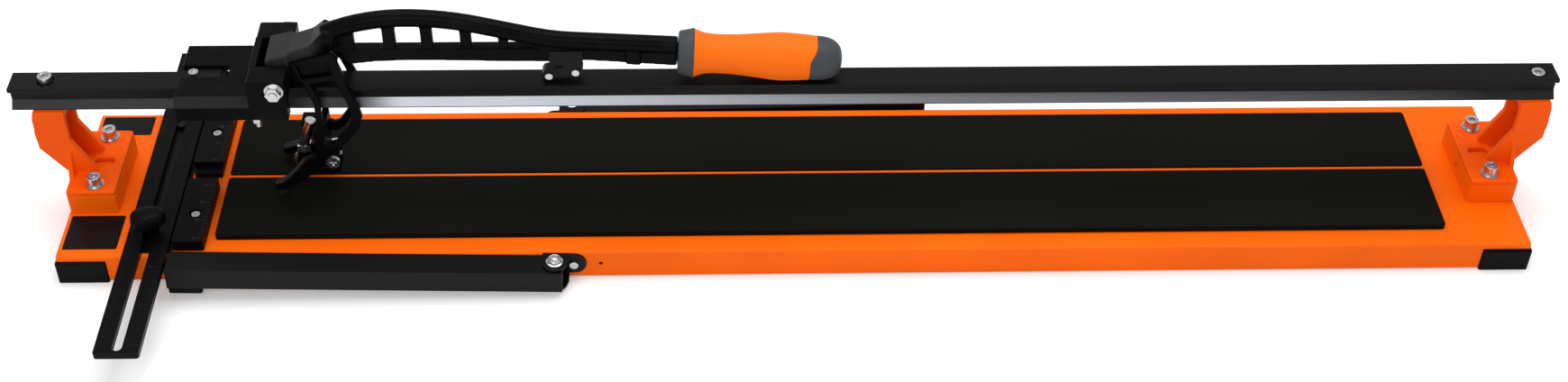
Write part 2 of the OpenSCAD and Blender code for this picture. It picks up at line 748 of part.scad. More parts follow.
module fence_knob() color("black") at_line() translate([fence_x, -stud_y, knob_z]) difference() {
  union() {
    cylinder(h = stem_h + 1, d = stem_d);
    translate([0, 0, stem_h]) hull() {
      for (i = [-1, 1]) translate([i * (knob_len - knob_w) / 2, 0, 0]) {
        translate([0, 0, 3]) cylinder(h = knob_h - stem_h - 6, d = knob_w, $fn = 32);
        cylinder(h = knob_h - stem_h, d = knob_w - 6, $fn = 32);
      }
    }
  }
  translate([0, 0, -eps]) cylinder(h = stud_top - knob_z + 1 + eps, d = stud_d + 2 * run_gap);
}

// ---- Support arms ----

// Frame of one arm: origin on the bench below the pivot, the arm along -X, the tray at +Y
module arm_side(s) {
  if (s < 0) arm_frame(hinge_mid_x - hinge_stagger, tray_front - pivot_out, 0) children();
  else arm_frame(hinge_mid_x + hinge_stagger, tray_rear + pivot_out, 180) children();
}
module arm_frame(x, y, turn) { translate([x, y, 0]) rotate(turn) rotate([0, arm_lean, 0]) children(); }
module arm_bolt_hole(z0, z1) { translate([0, 0, z0]) cylinder(h = z1 - z0, d = arm_bolt_d + 2 * run_gap); }

module arm_hinge(s) color("black") at_line() arm_side(s) difference() {
  union() {
    translate([0, pivot_out, 0]) rotate([90, 0, 0]) linear_extrude(hinge_wall) {
      translate([-ear_r, ear_low]) square([hinge_end + ear_r, ear_high + ear_t - ear_low]);
      translate([-ear_r, hinge_screw_z - hinge_round]) square([hinge_screw_x + ear_r, 2 * hinge_round]);
      translate([hinge_screw_x, hinge_screw_z]) circle(hinge_round);
    }
    for (z = [ear_low, ear_high]) translate([0, 0, z]) linear_extrude(ear_t) {
      translate([-ear_r, 0]) square([hinge_end + ear_r, pivot_out - hinge_wall]);
      circle(ear_r);
    }
  }
  arm_bolt_hole(ear_low - eps, ear_high + ear_t + eps);
  translate([hinge_screw_x, 0, hinge_screw_z]) rod_y(small_screw_d + 2 * bolt_gap, 0, pivot_out + eps);
}
module front_arm_hinge() arm_hinge(-1);
module rear_arm_hinge() arm_hinge(1);
module hinge_screws() color("silver") for (s = [-1, 1]) at_line() arm_side(s)
  translate([hinge_screw_x, pivot_out - hinge_wall, hinge_screw_z]) {
    rod_y(small_screw_d, -1, hinge_wall + sheet_t + 3);
    difference() {
      rod_y(small_head_d, -small_head_h, 0);
      translate([0, -small_head_h / 2, 0]) rotate([90, 0, 0]) linear_extrude(small_head_h)
        cross_2d(0.6 * small_head_d, 1);
    }
  }
module arm_pivot_bolts() color("silver") for (s = [-1, 1]) at_line() arm_side(s) {
  translate([0, 0, ear_high + ear_t]) cylinder(h = arm_washer_t, d = arm_bolt_d + 8);
  translate([0, 0, ear_high + ear_t + arm_washer_t]) hex(arm_nut_w, arm_nut_h + 0.5);
  translate([0, 0, ear_low - arm_nut_h])
    cylinder(h = ear_high + ear_t + arm_washer_t - ear_low + arm_nut_h, d = arm_bolt_d);
  translate([0, 0, ear_low - arm_nut_h]) hex(arm_nut_w, arm_nut_h);
}

// Channel with its open side to the tray and a closed end that swings clear of the hinge's wall
module arm_channel(s) color("black") at_line() arm_side(s) difference() {
  union() {
    for (z = [arm_lift, arm_lift + arm_h - arm_t]) translate([0, 0, z]) linear_extrude(arm_t) {
      translate([-arm_len, arm_in - arm_w]) square([arm_len - channel_end, arm_w]);
      polygon([
        [-channel_end - 0.5, arm_in - arm_w], [-channel_end - 0.5, arm_in],
        [-channel_end + 0.2, tongue_r - 1.2], [tongue_r / 3, tongue_r - 1.2], [arm_tail, tail_y],
        [arm_tail, arm_in - arm_w]
      ]);
    }
    box([-arm_len, arm_in - arm_w, arm_lift], [arm_tail, arm_in - arm_w + arm_t, arm_lift + arm_h]);
    box([arm_tail - arm_t, arm_in - arm_w, arm_lift], [arm_tail, tail_y, arm_lift + arm_h]);
  }
  arm_bolt_hole(arm_lift - eps, arm_lift + arm_h + eps);
  box([-arm_len - eps, arm_in - arm_w + arm_t, arm_lift - eps],
    [-arm_len + end_foot_len, arm_in + eps, arm_lift + arm_t + eps]);
}
module front_arm() arm_channel(-1);
module rear_arm() arm_channel(1);
module arm_foot(s) color("black") at_line() arm_side(s) {
  box([-arm_len, arm_in - arm_w + arm_t, arm_lift],
    [-arm_len + end_foot_len, arm_in, arm_lift + arm_h - arm_t]);
  slab([-arm_len + 1, arm_in - arm_w, foot_lift],
    [-arm_len + end_foot_len - 2, arm_in - 1, arm_lift], 2);
}
module front_arm_foot() arm_foot(-1);
module rear_arm_foot() arm_foot(1);

// ---- Carriage ----

module carriage_outline() {
  w = carriage_w / 2;
  polygon([
    [-w, carriage_low], [-w, carriage_top - carriage_bevel], [-w + carriage_bevel, carriage_top],
    [w - carriage_bevel, carriage_top], [w, carriage_top - carriage_bevel], [w, carriage_low],
    [cavity_w / 2, carriage_low], [cavity_w / 2, roof_z],
    [-cavity_w / 2, roof_z], [-cavity_w / 2, carriage_low]
  ]);
}
// Bearing positions: two on each side of the rail
module bearing_at(c) {
  x = c[0] < 0 ? carriage_left + bearing_in : carriage_right - bearing_in - 2;
  at_line() translate([x, c[1] * bearing_y, bearing_mid_z]) children();
}
module carriage_body() color("dimgray") difference() {
  union() {
    at_line() {
      along_x(carriage_left, carriage_len) carriage_outline();
      for (j = [-1, 1]) mirror([0, j > 0 ? 1 : 0, 0]) difference() {
        box([clevis_left, clevis_gap / 2, carriage_top - 1],
          [carriage_right + 1, carriage_w / 2, carriage_top + clevis_h]);
        translate([clevis_left, 0, carriage_top + clevis_h]) rotate([0, 45, 0])
          cube([clevis_cut, 2 * carriage_w, clevis_cut], center = true);
      }
      for (j = [-1, 1]) mirror([0, j > 0 ? 1 : 0, 0])
        box([clevis_left, carriage_w / 2 - carriage_bevel - 1, carriage_top - carriage_bevel - 1],
          [carriage_right + 1, carriage_w / 2, carriage_top]);
      box([clevis_left, -clevis_gap / 2, carriage_top - 1],
        [clevis_left + clevis_back, clevis_gap / 2, carriage_top + clevis_h]);
    }
    for (c = BEARINGS) bearing_at(c) translate([0, 0, bearing_w / 2 + slide_gap])
      cylinder(h = roof_z - bearing_mid_z - bearing_w / 2 - slide_gap + 1, d = boss_d);
  }
  at_line() {
    translate([carriage_left, 0, roof_z - eps]) linear_extrude(carriage_top_t + 2 * eps) top_slot();
    translate([pivot_x, 0, pivot_z])
      rod_y(pivot_d + 2 * bolt_gap, -carriage_w / 2 - eps, carriage_w / 2 + eps);
    for (j = [-1, 1]) translate([clevis_bolt_x, j * clevis_bolt_y, carriage_low - eps])
      cylinder(h = 14, d = clevis_bolt_d + 2 * bolt_gap);
  }
  for (c = BEARINGS) bearing_at(c) cylinder(h = roof_z + 1 - bearing_mid_z, d = axle_d + 2 * bolt_gap);
}
// Slot in the carriage's top, open on the left
module top_slot() {
  translate([-eps, -top_slot_w / 2]) square([top_slot_len - top_slot_w / 4 + eps, top_slot_w]);
  translate([0, -top_slot_w / 4]) square([top_slot_len, top_slot_w / 2]);
  for (j = [-1, 1]) translate([top_slot_len - top_slot_w / 4, j * top_slot_w / 4]) circle(top_slot_w / 4);
}
module glide_block() color("ivory") at_line() difference() {
  union() {
    box([glide_left, -glide_w / 2, rail_top + slide_gap], [glide_left + glide_len, glide_w / 2, roof_z]);
    box([glide_left, -top_slot_w / 2 + bolt_gap, roof_z],
      [glide_left + glide_len - top_slot_w / 4, top_slot_w / 2 - bolt_gap, roof_z + glide_step]);
  }
  translate([glide_left + glide_screw_x, 0, rail_top + glide_floor - bolt_gap])
    cylinder(h = carriage_rise, d = glide_screw_d + 2 * bolt_gap);
}
module glide_screw() color("silver") at_line() translate([glide_left + glide_screw_x, 0, 0]) {
  translate([0, 0, rail_top + glide_floor])
    cylinder(h = roof_z + glide_step - rail_top - glide_floor, d = glide_screw_d);
  translate([0, 0, roof_z + glide_step]) difference() {
    cylinder(h = glide_head_h, d = 2 * glide_screw_d - 1);
    translate([0, 0, glide_head_h / 2]) hex(glide_screw_d - 1, glide_head_h);
  }
}
module clevis_bolts() color("silver") at_line() for (j = [-1, 1])
  translate([clevis_bolt_x, j * clevis_bolt_y, carriage_low]) {
    translate([0, 0, -clevis_nut_h]) hex(clevis_nut_w, clevis_nut_h);
    translate([0, 0, -2 * clevis_nut_h - 1]) cylinder(h = clevis_bolt_len, d = clevis_bolt_d);
  }
module pivot_bolt() color("silver") at_pivot() {
  rod_y(pivot_d, -carriage_w / 2 - pivot_nut_h - 1, carriage_w / 2);
  translate([0, carriage_w / 2 + pivot_head_h, 0]) rotate([90, 0, 0]) hex(pivot_nut_w, pivot_head_h);
}
module pivot_nut() color("silver") at_pivot() difference() {
  union() {
    rod_y(pivot_nut_d, -carriage_w / 2 - nut_flange_t, -carriage_w / 2);
    translate([0, -carriage_w / 2 - nut_flange_t, 0]) rotate([90, 0, 0])
      hex(pivot_nut_w, pivot_nut_h - nut_flange_t);
  }
  rod_y(pivot_d + 2 * bolt_gap, -carriage_w / 2 - pivot_nut_h - eps, -carriage_w / 2 + eps);
}
module bearing_axles() color("silver") for (c = BEARINGS) bearing_at(c) {
  translate([0, 0, -bearing_w / 2 - slide_gap - axle_head_h]) cylinder(h = axle_head_h, d = axle_d + 4);
  translate([0, 0, -bearing_w / 2 - slide_gap - 1])
    cylinder(h = roof_z - bearing_mid_z + bearing_w / 2 + slide_gap + 1, d = axle_d);
}
module side_bearing(c) color("silver") bearing_at(c) difference() {
  union() {
    translate([0, 0, -bearing_w / 2 + bearing_cut])
      cylinder(h = bearing_w - 2 * bearing_cut, d = bearing_d);
    translate([0, 0, -bearing_w / 2]) cylinder(h = bearing_w, d = bearing_d - 3 * bearing_cut);
  }
  for (z = [-bearing_w / 2 - eps, bearing_w / 2 - bearing_cut]) translate([0, 0, z]) difference() {
    cylinder(h = bearing_cut + eps, d = bearing_d - 6);
    translate([0, 0, -eps]) cylinder(h = 2 + eps, d = axle_d + 4);
  }
  translate([0, 0, -bearing_w]) cylinder(h = 2 * bearing_w, d = axle_d + 2 * run_gap);
}

// ---- Lever ----

// Height of the tube's centre line at x: two bends over the arch, a straight run and the tail
function arc_drop(x, r) = r - sqrt(r * r - x * x);
function tube_z(x) =
  x < arch_top_x ? arch_top_z - arc_drop(x - arch_top_x, arch_near_r) :
  x < far_x ? arch_top_z - arc_drop(x - arch_top_x, arch_far_r) :
  x < run_x ? far_z - (x - far_x) * tan(arch_fall) :
  x < tail_x ? run_z - tail_r * (1 - cos(arch_fall))
    + arc_drop(x - run_x - tail_r * sin(arch_fall), tail_r) :
  tail_z - (x - tail_x) * tan(tail_fall);
// Ring of the tube at x, square to its centre line
function tube_ring(x) = let (rise = atan(tube_z(x + 0.5) - tube_z(x - 0.5)), r = tube_d / 2)
  [for (k = [0:tube_sides - 1]) let (a = 360 * k / tube_sides)
    [x - r * sin(a) * sin(rise), r * cos(a), tube_z(x) + r * sin(a) * cos(rise)]];
module lever_tube() {
  n = tube_sides;
  polyhedron(
    points = [for (i = [0:tube_steps]) each tube_ring(near_x + (grip_x - near_x) * i / tube_steps)],
    faces = concat(
      [[for (k = [0:n - 1]) k]],
      [for (i = [0:tube_steps - 1], k = [0:n - 1]) [i * n + k, (i + 1) * n + k, i * n + (k + 1) % n]],
      [for (i = [0:tube_steps - 1], k = [0:n - 1])
        [i * n + (k + 1) % n, (i + 1) * n + k, (i + 1) * n + (k + 1) % n]],
      [[for (k = [n - 1:-1:0]) tube_steps * n + k]]
    )
  );
}
module web_outline() polygon(concat(
  chord_low,
  [for (i = [web_steps:-1:0])
    let (x = near_x + web_in + (grip_x - near_x - web_in) * i / web_steps) [x, tube_z(x)]],
  [web_root]
));
module head_outline() {
  polygon(concat(
    [[-boss_r, 0], [-boss_r, head_h]], head_top,
    [[near_x, near_z + tube_d / 2 - 1], [near_x + 12, near_z + 4]], head_low, [[boss_r, 0]]
  ));
  circle(boss_r);
}
// Head seen from above: as wide as the clevis allows, then between the yoke plates, then the tube
module head_plan() polygon(concat(
  head_side, [for (i = [len(head_side) - 1:-1:0]) [head_side[i][0], -head_side[i][1]]]
));
module handle_lever() color("black") at_pivot() difference() {
  union() {
    lever_tube();
    side_plate(web_t) difference() {
      web_outline();
      for (w = windows) polygon([
        [w[0], window_z], [w[1], window_z],
        [w[1], tube_z(w[1]) - tube_d / 2], [w[0], tube_z(w[0]) - tube_d / 2]
      ]);
    }
    side_plate(chord_w) intersection() {
      web_outline();
      for (b = chord_blocks) translate([b[0], -tube_d]) square([b[1] - b[0], tube_d + b[2]]);
    }
    intersection() {
      side_plate(head_w) head_outline();
      translate([0, 0, -head_w]) linear_extrude(3 * head_w) head_plan();
    }
    side_plate(2 * yoke_in) polygon(head_core);
    at_grip() rod_x(tang_d, -2, cap_at + end_cap_len / 2);
  }
  rod_y(pivot_d + 2 * run_gap, -head_w, head_w);
}
// Frame of the grip: X along its axis from the collar's left face
module at_grip() { translate([grip_x, 0, grip_z]) rotate([0, tail_fall, 0]) children(); }
module turned(points) { rotate([0, 90, 0]) rotate_extrude() polygon(points); }
module grip_bore(a, b) { rod_x(tang_d + 2 * tang_gap, a, b); }
module grip_collar() color("gray") at_pivot() at_grip() difference() {
  r = collar_d / 2;
  turned([[0, 0], [r - 2, 0], [r, 2], [r, collar_len - 1], [r - 1, collar_len], [0, collar_len]]);
  grip_bore(-eps, collar_len + eps);
  translate([0, 0, grip_drop]) rod_x(tube_d + 1, -eps, 2);
}
module grip_sleeve() color("darkorange") at_pivot() at_grip() difference() {
  turned([
    [0, sleeve_at], [sleeve_flare, sleeve_at], [sleeve_waist, sleeve_at + 0.1 * sleeve_len],
    [sleeve_waist, sleeve_at + 0.31 * sleeve_len], [sleeve_waist + 2, sleeve_at + 0.5 * sleeve_len],
    [sleeve_belly, sleeve_at + 0.67 * sleeve_len], [sleeve_belly, sleeve_at + 0.73 * sleeve_len],
    [sleeve_end, cap_at], [0, cap_at]
  ]);
  grip_bore(sleeve_at - eps, cap_at + eps);
}
module grip_end_cap() color("gray") at_pivot() at_grip() difference() {
  turned([
    [0, cap_at], [sleeve_end, cap_at], [0.97 * sleeve_end, cap_at + 0.32 * end_cap_len],
    [0.86 * sleeve_end, cap_at + 0.64 * end_cap_len], [0.69 * sleeve_end, cap_at + 0.84 * end_cap_len],
    [0.47 * sleeve_end, cap_at + 0.96 * end_cap_len], [0, cap_at + end_cap_len]
  ]);
  grip_bore(cap_at - eps, cap_at + end_cap_len / 2 + tang_gap);
}

// Clip round the lever's lower edge, with two ears for the rest link
module link_clip() color("black") at_pivot() for (j = [-1, 1])
  translate([0, j * (chord_w / 2 + ear_plate / 2), 0]) side_plate(ear_plate) difference() {
    union() {
      translate([link_pivot[0] - clip_left, -2]) square([clip_len, clip_h]);
      polygon([
        [link_pivot[0] - 2 * clip_r - 1.7, -1], [link_pivot[0] + clip_r + 1.3, -1],
        [link_pivot[0] + clip_r, link_pivot[1]], [link_pivot[0] - clip_r, link_pivot[1]]
      ]);
      translate(link_pivot) circle(clip_r);
    }
    translate(link_pivot) circle(d = rivet_d + 2 * run_gap);
  }
module link_end() { translate(link_pivot) rotate(link_angle) translate([link_len, 0]) children(); }
module rest_link() color("black") at_pivot() side_plate(2 * link_half) difference() {
  union() {
    translate(link_pivot) circle(link_r - slide_gap);
    link_end() circle(link_r - slide_gap);
    translate(link_pivot) rotate(link_angle) translate([0, slide_gap - link_r])
      square([link_len, 2 * link_r - 2 * slide_gap]);
  }
  translate(link_pivot) circle(d = rivet_d + 2 * bolt_gap);
  link_end() circle(d = rivet_d + 2 * bolt_gap);
}
module at_link_end() {
  translate([link_pivot[0] + link_len * cos(link_angle), 0, link_pivot[1] + link_len * sin(link_angle)])
    children();
}
module rivet(half) {
  rod_y(rivet_d, -half - rivet_head_h, half + rivet_head_h);
  for (j = [-1, 1]) mirror([0, j > 0 ? 1 : 0, 0]) rod_y(rivet_d + 3, -half - rivet_head_h, -half);
}
module link_rivets() color("silver") at_pivot() {
  translate([link_pivot[0], 0, link_pivot[1]]) rivet(chord_w / 2 + ear_plate + bolt_gap);
  at_link_end()
    rivet(link_half);
}

// ---- Breaker ----

module yoke_outline() difference() {
  polygon(yoke_edge);
  polygon(yoke_upper_window);
  polygon(yoke_lower_window);
}
module yoke_plate(s) color("black") at_pivot() translate([0, s * (yoke_in + yoke_t / 2), 0])
  side_plate(yoke_t) yoke_outline();
module yoke_front() yoke_plate(-1);
module yoke_rear() yoke_plate(1);

// Frame of the shank: Z along its axis from the top of the wheel fork
module at_shank() {
  translate([wheel_x + 1, 0, fork_high - wheel_down]) rotate([0, shank_tilt, 0]) children();
}
module yoke_cross() color("black") at_pivot() difference() {
  union() {
    box([cross_left, -yoke_in, cross_low], [cross_right, yoke_in, cross_high]);
    box([cross_lug_x, 0, cross_high - cross_lug_h], [cross_left + 1, yoke_in, cross_high]);
    translate([0, 0, -foot_down]) rod_x(2 * knuckle_r, knuckle_x, knuckle_x + knuckle_len);
    box([knuckle_x, -knuckle_r, -foot_down], [knuckle_x + knuckle_len, knuckle_r, cross_low + 1]);
  }
  at_shank() translate([0, 0, -eps]) cylinder(h = 2 * shank_len, d = shank_d + 2 * bolt_gap);
  translate([0, 0, -foot_down]) rod_x(foot_pin_d + 2 * bolt_gap, 0, 2 * cross_right);
}
module wheel_holder() color("silver") at_pivot() difference() {
  union() {
    at_shank() cylinder(h = shank_len, d = shank_d);
    side_plate(fork_w) hull() {
      translate([wheel_x, -wheel_down]) circle(fork_r);
      translate([wheel_x - 4, fork_high - wheel_down - 1]) square([2 * fork_r - 1, 2]);
    }
  }
  translate([wheel_x, 0, -wheel_down]) rod_y(wheel_d + 2, -fork_gap, fork_gap);
  translate([wheel_x, 0, -wheel_down]) rod_y(wheel_bore, -fork_w, fork_w);
}
module wheel_axle() color("silver") at_pivot() translate([wheel_x, 0, -wheel_down])
  rod_y(wheel_bore - 2 * bolt_gap, -fork_w / 2 - 0.4, fork_w / 2 + 0.4);
module cutting_wheel() color("silver") at_pivot() translate([wheel_x, 0, -wheel_down]) rotate([90, 0, 0])
  rotate_extrude() polygon([
    [wheel_bore / 2 - bolt_gap + run_gap, -wheel_w / 2], [wheel_d / 2 - wheel_hub_in, -wheel_w / 2],
    [wheel_d / 2 - wheel_rim_in, -wheel_w / 5], [wheel_d / 2, 0], [wheel_d / 2 - wheel_rim_in, wheel_w / 5],
    [wheel_d / 2 - wheel_hub_in, wheel_w / 2], [wheel_bore / 2 - bolt_gap + run_gap, wheel_w / 2]
  ]);
module foot_pin() color("silver") at_pivot() translate([0, 0, -foot_down])
  rod_x(foot_pin_d, foot_left - 0.8, foot_right + 1.5);

// Foot: hinged hub behind the wheel with two swept wings that pass the wheel on both sides
module breaker_foot() color("black") at_pivot() difference() {
  union() {
    box([foot_left, -foot_half, foot_low], [foot_right, foot_half, foot_high]);
    for (j = [-1, 1]) mirror([0, j > 0 ? 1 : 0, 0]) intersection() {
      translate([0, 0, -2 * foot_down]) linear_extrude(2 * foot_down) polygon(wing_plan);
      side_plate(4 * tip_out) polygon(wing_side);
    }
  }
  box([knuckle_x - slide_gap, -foot_half - eps, -foot_down - knuckle_r - 1.2],
    [knuckle_x + knuckle_len + slide_gap, foot_half + eps, foot_high + eps]);
  translate([0, 0, -foot_down]) rod_x(foot_pin_d + 2 * run_gap, 0, 2 * foot_right);
  for (j = [-1, 1]) mirror([0, j > 0 ? 1 : 0, 0]) translate([foot_screw_x, 0, -foot_down])
    rod_y(small_screw_d + 2 * bolt_gap, -foot_half - eps, -foot_half / 2);
}
module foot_tips() color("dimgray") at_pivot() for (j = [-1, 1])
  translate([tip_x, j * tip_out, wing_low - tip_h]) cylinder(h = tip_h, d = tip_d);
module foot_screws() color("silver") at_pivot() for (j = [-1, 1]) mirror([0, j > 0 ? 1 : 0, 0])
  translate([foot_screw_x, -foot_half, -foot_down]) {
    rod_y(small_screw_d, -1, foot_half / 2 - eps);
    difference() {
      rod_y(foot_head_d, -foot_head_h, 0);
      translate([0, -foot_head_h / 2, 0]) rotate([90, 0, 0]) linear_extrude(foot_head_h)
        cross_2d(0.53 * foot_head_d, 1.6);
    }
  }

base_tray();
breaking_bar();
front_pad();
rear_pad();
corner_cap(CAPS[0]);  // corner_cap_1
corner_cap(CAPS[1]);  // corner_cap_2
corner_cap(CAPS[2]);  // corner_cap_3
corner_cap(CAPS[3]);  // corner_cap_4
left_block();
right_block();
left_bracket();
right_bracket();
bracket_bolts();
bracket_washers();
bracket_nuts();
rail();
rail_bolts();
front_stop_plate();
rear_stop_plate();
stop_plate_screws();
fence_stud();
fence_guide_pin();
fence_bar();
fence_knob();
front_arm_hinge();
rear_arm_hinge();
hinge_screws();
arm_pivot_bolts();
front_arm();
front_arm_foot();
rear_arm();
rear_arm_foot();
carriage_body();
glide_block();
glide_screw();
clevis_bolts();
pivot_bolt();
pivot_nut();
bearing_axles();
side_bearing(BEARINGS[0]);  // side_bearing_1
side_bearing(BEARINGS[1]);  // side_bearing_2
side_bearing(BEARINGS[2]);  // side_bearing_3
side_bearing(BEARINGS[3]);  // side_bearing_4
handle_lever();
grip_collar();
grip_sleeve();
grip_end_cap();
link_clip();
link_rivets();
rest_link();
yoke_front();
yoke_rear();
yoke_cross();
wheel_holder();
wheel_axle();
cutting_wheel();
foot_pin();
breaker_foot();
foot_tips();
foot_screws();
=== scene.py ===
# %% [markdown]
# # A rail tile cutter
# The cutter is a long folded steel base with rubber pads, a dark guide rail on two orange
# brackets, and a carriage with an arched lever. Its solids come in at their measured size, as a
# fixed frame. This lesson leaves them where they are and adds the finishes, the rounded edges,
# the foam pads, the moulded grip and the printed scales.

# %% Start
import json
import math

import bmesh
import bpy
from mathutils import Matrix, Vector


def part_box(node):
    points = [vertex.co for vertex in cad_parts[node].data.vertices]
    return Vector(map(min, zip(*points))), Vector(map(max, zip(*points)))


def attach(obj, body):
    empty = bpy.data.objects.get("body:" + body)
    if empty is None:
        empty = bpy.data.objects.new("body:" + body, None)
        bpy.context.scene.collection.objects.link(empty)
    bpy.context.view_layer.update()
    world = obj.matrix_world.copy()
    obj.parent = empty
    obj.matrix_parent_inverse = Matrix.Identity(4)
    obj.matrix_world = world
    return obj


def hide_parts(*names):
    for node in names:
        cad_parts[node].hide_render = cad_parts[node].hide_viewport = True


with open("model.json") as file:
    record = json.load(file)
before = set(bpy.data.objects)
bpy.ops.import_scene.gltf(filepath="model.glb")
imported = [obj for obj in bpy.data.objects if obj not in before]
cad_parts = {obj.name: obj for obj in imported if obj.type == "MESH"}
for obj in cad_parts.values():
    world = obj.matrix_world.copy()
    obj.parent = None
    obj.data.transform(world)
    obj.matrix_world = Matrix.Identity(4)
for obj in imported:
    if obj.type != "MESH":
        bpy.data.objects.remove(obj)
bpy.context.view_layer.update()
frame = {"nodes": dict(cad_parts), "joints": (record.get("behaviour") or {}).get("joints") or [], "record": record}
nodes = frame["nodes"]
joints = {joint["name"]: joint for joint in frame["joints"]}
slot_of = {part["node"]: part["material_slot"] for part in frame["record"]["subparts"]}
body_of = {n: body for body, group in frame["record"]["behaviour"]["bodies"].items() for n in group}


# %% [markdown]
# ## Camera
# Such a long, low machine is shown from the front and well above, so that the bed, the rail and
# the support arm all read. A normal lens from about two metres keeps the far end nearly as
# large as the near one. The turn has a small roll in it, as a hand-held view does.

# %% Camera
LENS = 48.91
STAND = (-0.06822, -1.55235, 1.3945)
TURN = (48.7273, -0.796, -1.6031)


def placed(made):
    """Puts a new object into the scene."""
    bpy.context.scene.collection.objects.link(made)
    return made


camera_data = bpy.data.cameras.new("camera")
camera_data.lens = LENS
camera_data.sensor_width = 36.0
camera_data.sensor_fit = "HORIZONTAL"
camera_data.clip_end = 50.0
camera = placed(bpy.data.objects.new("camera", camera_data))
camera.location = STAND
camera.rotation_euler = [math.radians(a) for a in TURN]
bpy.context.scene.camera = camera
bpy.context.scene.view_settings.view_transform = "Standard"
print("camera", [round(v, 3) for v in camera.location])


# %% [markdown]
# ## Shader sums
# A finish is a few sums on masks and noises, which would be a tangle of Math nodes. One class
# wraps a node's output, so that a sum can be written as plain Python, and a second one holds the
# material and makes every other node by one method.

# %% A wire with sums
class Wire:
    """One output of a node, with the sums that the finishes use."""

    def __init__(self, finish, socket):
        self.finish, self.socket = finish, socket

    def sum(self, operation, *values):
        return self.finish.node("ShaderNodeMath", {"operation": operation}, dict(enumerate(values)))

    def __add__(self, other):
        return self.sum("ADD", self, other)

    __radd__ = __add__

    def __sub__(self, other):
        return self.sum("SUBTRACT", self, other)

    def __rsub__(self, other):
        return self.sum("SUBTRACT", other, self)

    def __mul__(self, other):
        return self.sum("MULTIPLY", self, other)

    __rmul__ = __mul__

    def __truediv__(self, other):
        return self.sum("DIVIDE", self, other)

    def __pow__(self, other):
        return self.sum("POWER", self, other)

    def above(self, edge):
        return self.sum("GREATER_THAN", self, edge)

    def below(self, edge):
        return self.sum("LESS_THAN", self, edge)

    def between(self, low, high):
        return self.above(low) * self.below(high)

    def kept_within(self, low, high):
        return self.sum("MINIMUM", self.sum("MAXIMUM", self, low), high)

    def ramp(self, low, high, a=0.0, b=1.0):
        """Runs smoothly from a to b while this value goes from low to high."""
        values = {"Value": self, "From Min": low, "From Max": high, "To Min": a, "To Max": b}
        return self.finish.node("ShaderNodeMapRange", {"interpolation_type": "SMOOTHSTEP"}, values)


print("wire", [name for name in vars(Wire) if not name.startswith("_")])


# %% A finish
class Finish:
    """A material on the Principled shader."""

    def __init__(self, name, **sockets):
        self.material = bpy.data.materials.new(name)
        self.material.use_nodes = True
        self.tree = self.material.node_tree
        self.shader = next(n for n in self.tree.nodes if n.type == "BSDF_PRINCIPLED")
        self.set(**sockets)

    def plug(self, socket, value):
        if isinstance(value, Wire):
            self.tree.links.new(value.socket, socket)
        elif hasattr(socket.default_value, "__len__") and len(socket.default_value) > len(value):
            socket.default_value = (*value, 1.0)
        else:
            socket.default_value = value

    def node(self, kind, settings=None, values=None, output=0):
        made = self.tree.nodes.new(kind)
        for key, setting in (settings or {}).items():
            setattr(made, key, setting)
        for key, value in (values or {}).items():
            self.plug(made.inputs[key], value)
        return Wire(self, made.outputs[output])

    def set(self, **sockets):
        for key, value in sockets.items():
            self.plug(self.shader.inputs[key.replace("_", " ")], value)

    def mix(self, factor, a, b):
        return self.node("ShaderNodeMix", {"data_type": "RGBA"}, {0: factor, 6: a, 7: b}, 2)

    def place(self):
        return self.node("ShaderNodeTexCoord", output="Object")

    def axis(self, letter):
        """The object's own X, Y or Z, in metres."""
        return self.node("ShaderNodeSeparateXYZ", None, {0: self.place()}, letter)

    def stretched(self, x, y, z):
        return self.node("ShaderNodeMapping", None, {"Vector": self.place(), "Scale": (x, y, z)})

    def noise(self, scale, detail, where=None):
        values = {"Vector": where or self.place(), "Scale": scale, "Detail": detail}
        return self.node("ShaderNodeTexNoise", None, values)

    def bump(self, height, strength, distance):
        values = {"Height": height, "Strength": strength, "Distance": distance}
        self.set(Normal=self.node("ShaderNodeBump", None, values))


def toned(color, share):
    """A darker or a paler shade of one colour."""
    return tuple(c * share for c in color)


print("finish", [name for name in vars(Finish) if not name.startswith("_")])


# %% [markdown]
# ## Powder coat
# The tray, the blocks and the brackets are powder coated. The powder melts into a skin with a
# faint orange-peel ripple, so a fine noise drives the bump, and a wide one shifts the colour and
# the gloss a little. The castings get a coarser skin than the folded sheet. The fence bar gets a
# darker, duller copy of the arms' black, as painted shade for the shadow it lies in.

# %% Powder coat
def powder(name, color, ripple, roughness, depth, shine):
    finish = Finish(name, Specular_IOR_Level=shine)
    wide = finish.noise(9.0, 2.0)
    fine = finish.noise(ripple, 2.0)
    finish.set(Base_Color=finish.mix(wide.ramp(0.3, 0.75), toned(color, 0.9), color))
    finish.set(Roughness=roughness + (fine - 0.5) * 0.16 + (wide - 0.5) * 0.1)
    finish.bump(fine, 0.25, depth)
    return finish.material


orange_coat = powder("orange_powder_coat", (1.0, 0.14, 0.002),
                     ripple=900.0, roughness=0.34, depth=0.00012, shine=0.08)
orange_casting = powder("orange_cast_coat", (0.99, 0.105, 0.001),
                        ripple=620.0, roughness=0.4, depth=0.0003, shine=0.08)
black_coat = powder("black_powder_coat", (0.0034, 0.0034, 0.0036),
                    ripple=800.0, roughness=0.33, depth=0.0002, shine=0.13)
# A darker copy of the black coat: painted shade on the fence bar.
shaded_fence_coat = powder("shaded_fence_coat", (0.0018, 0.0018, 0.002),
                    ripple=800.0, roughness=0.36, depth=0.0002, shine=0.07)
print("powder coats", orange_coat.name, orange_casting.name, black_coat.name, shaded_fence_coat.name)
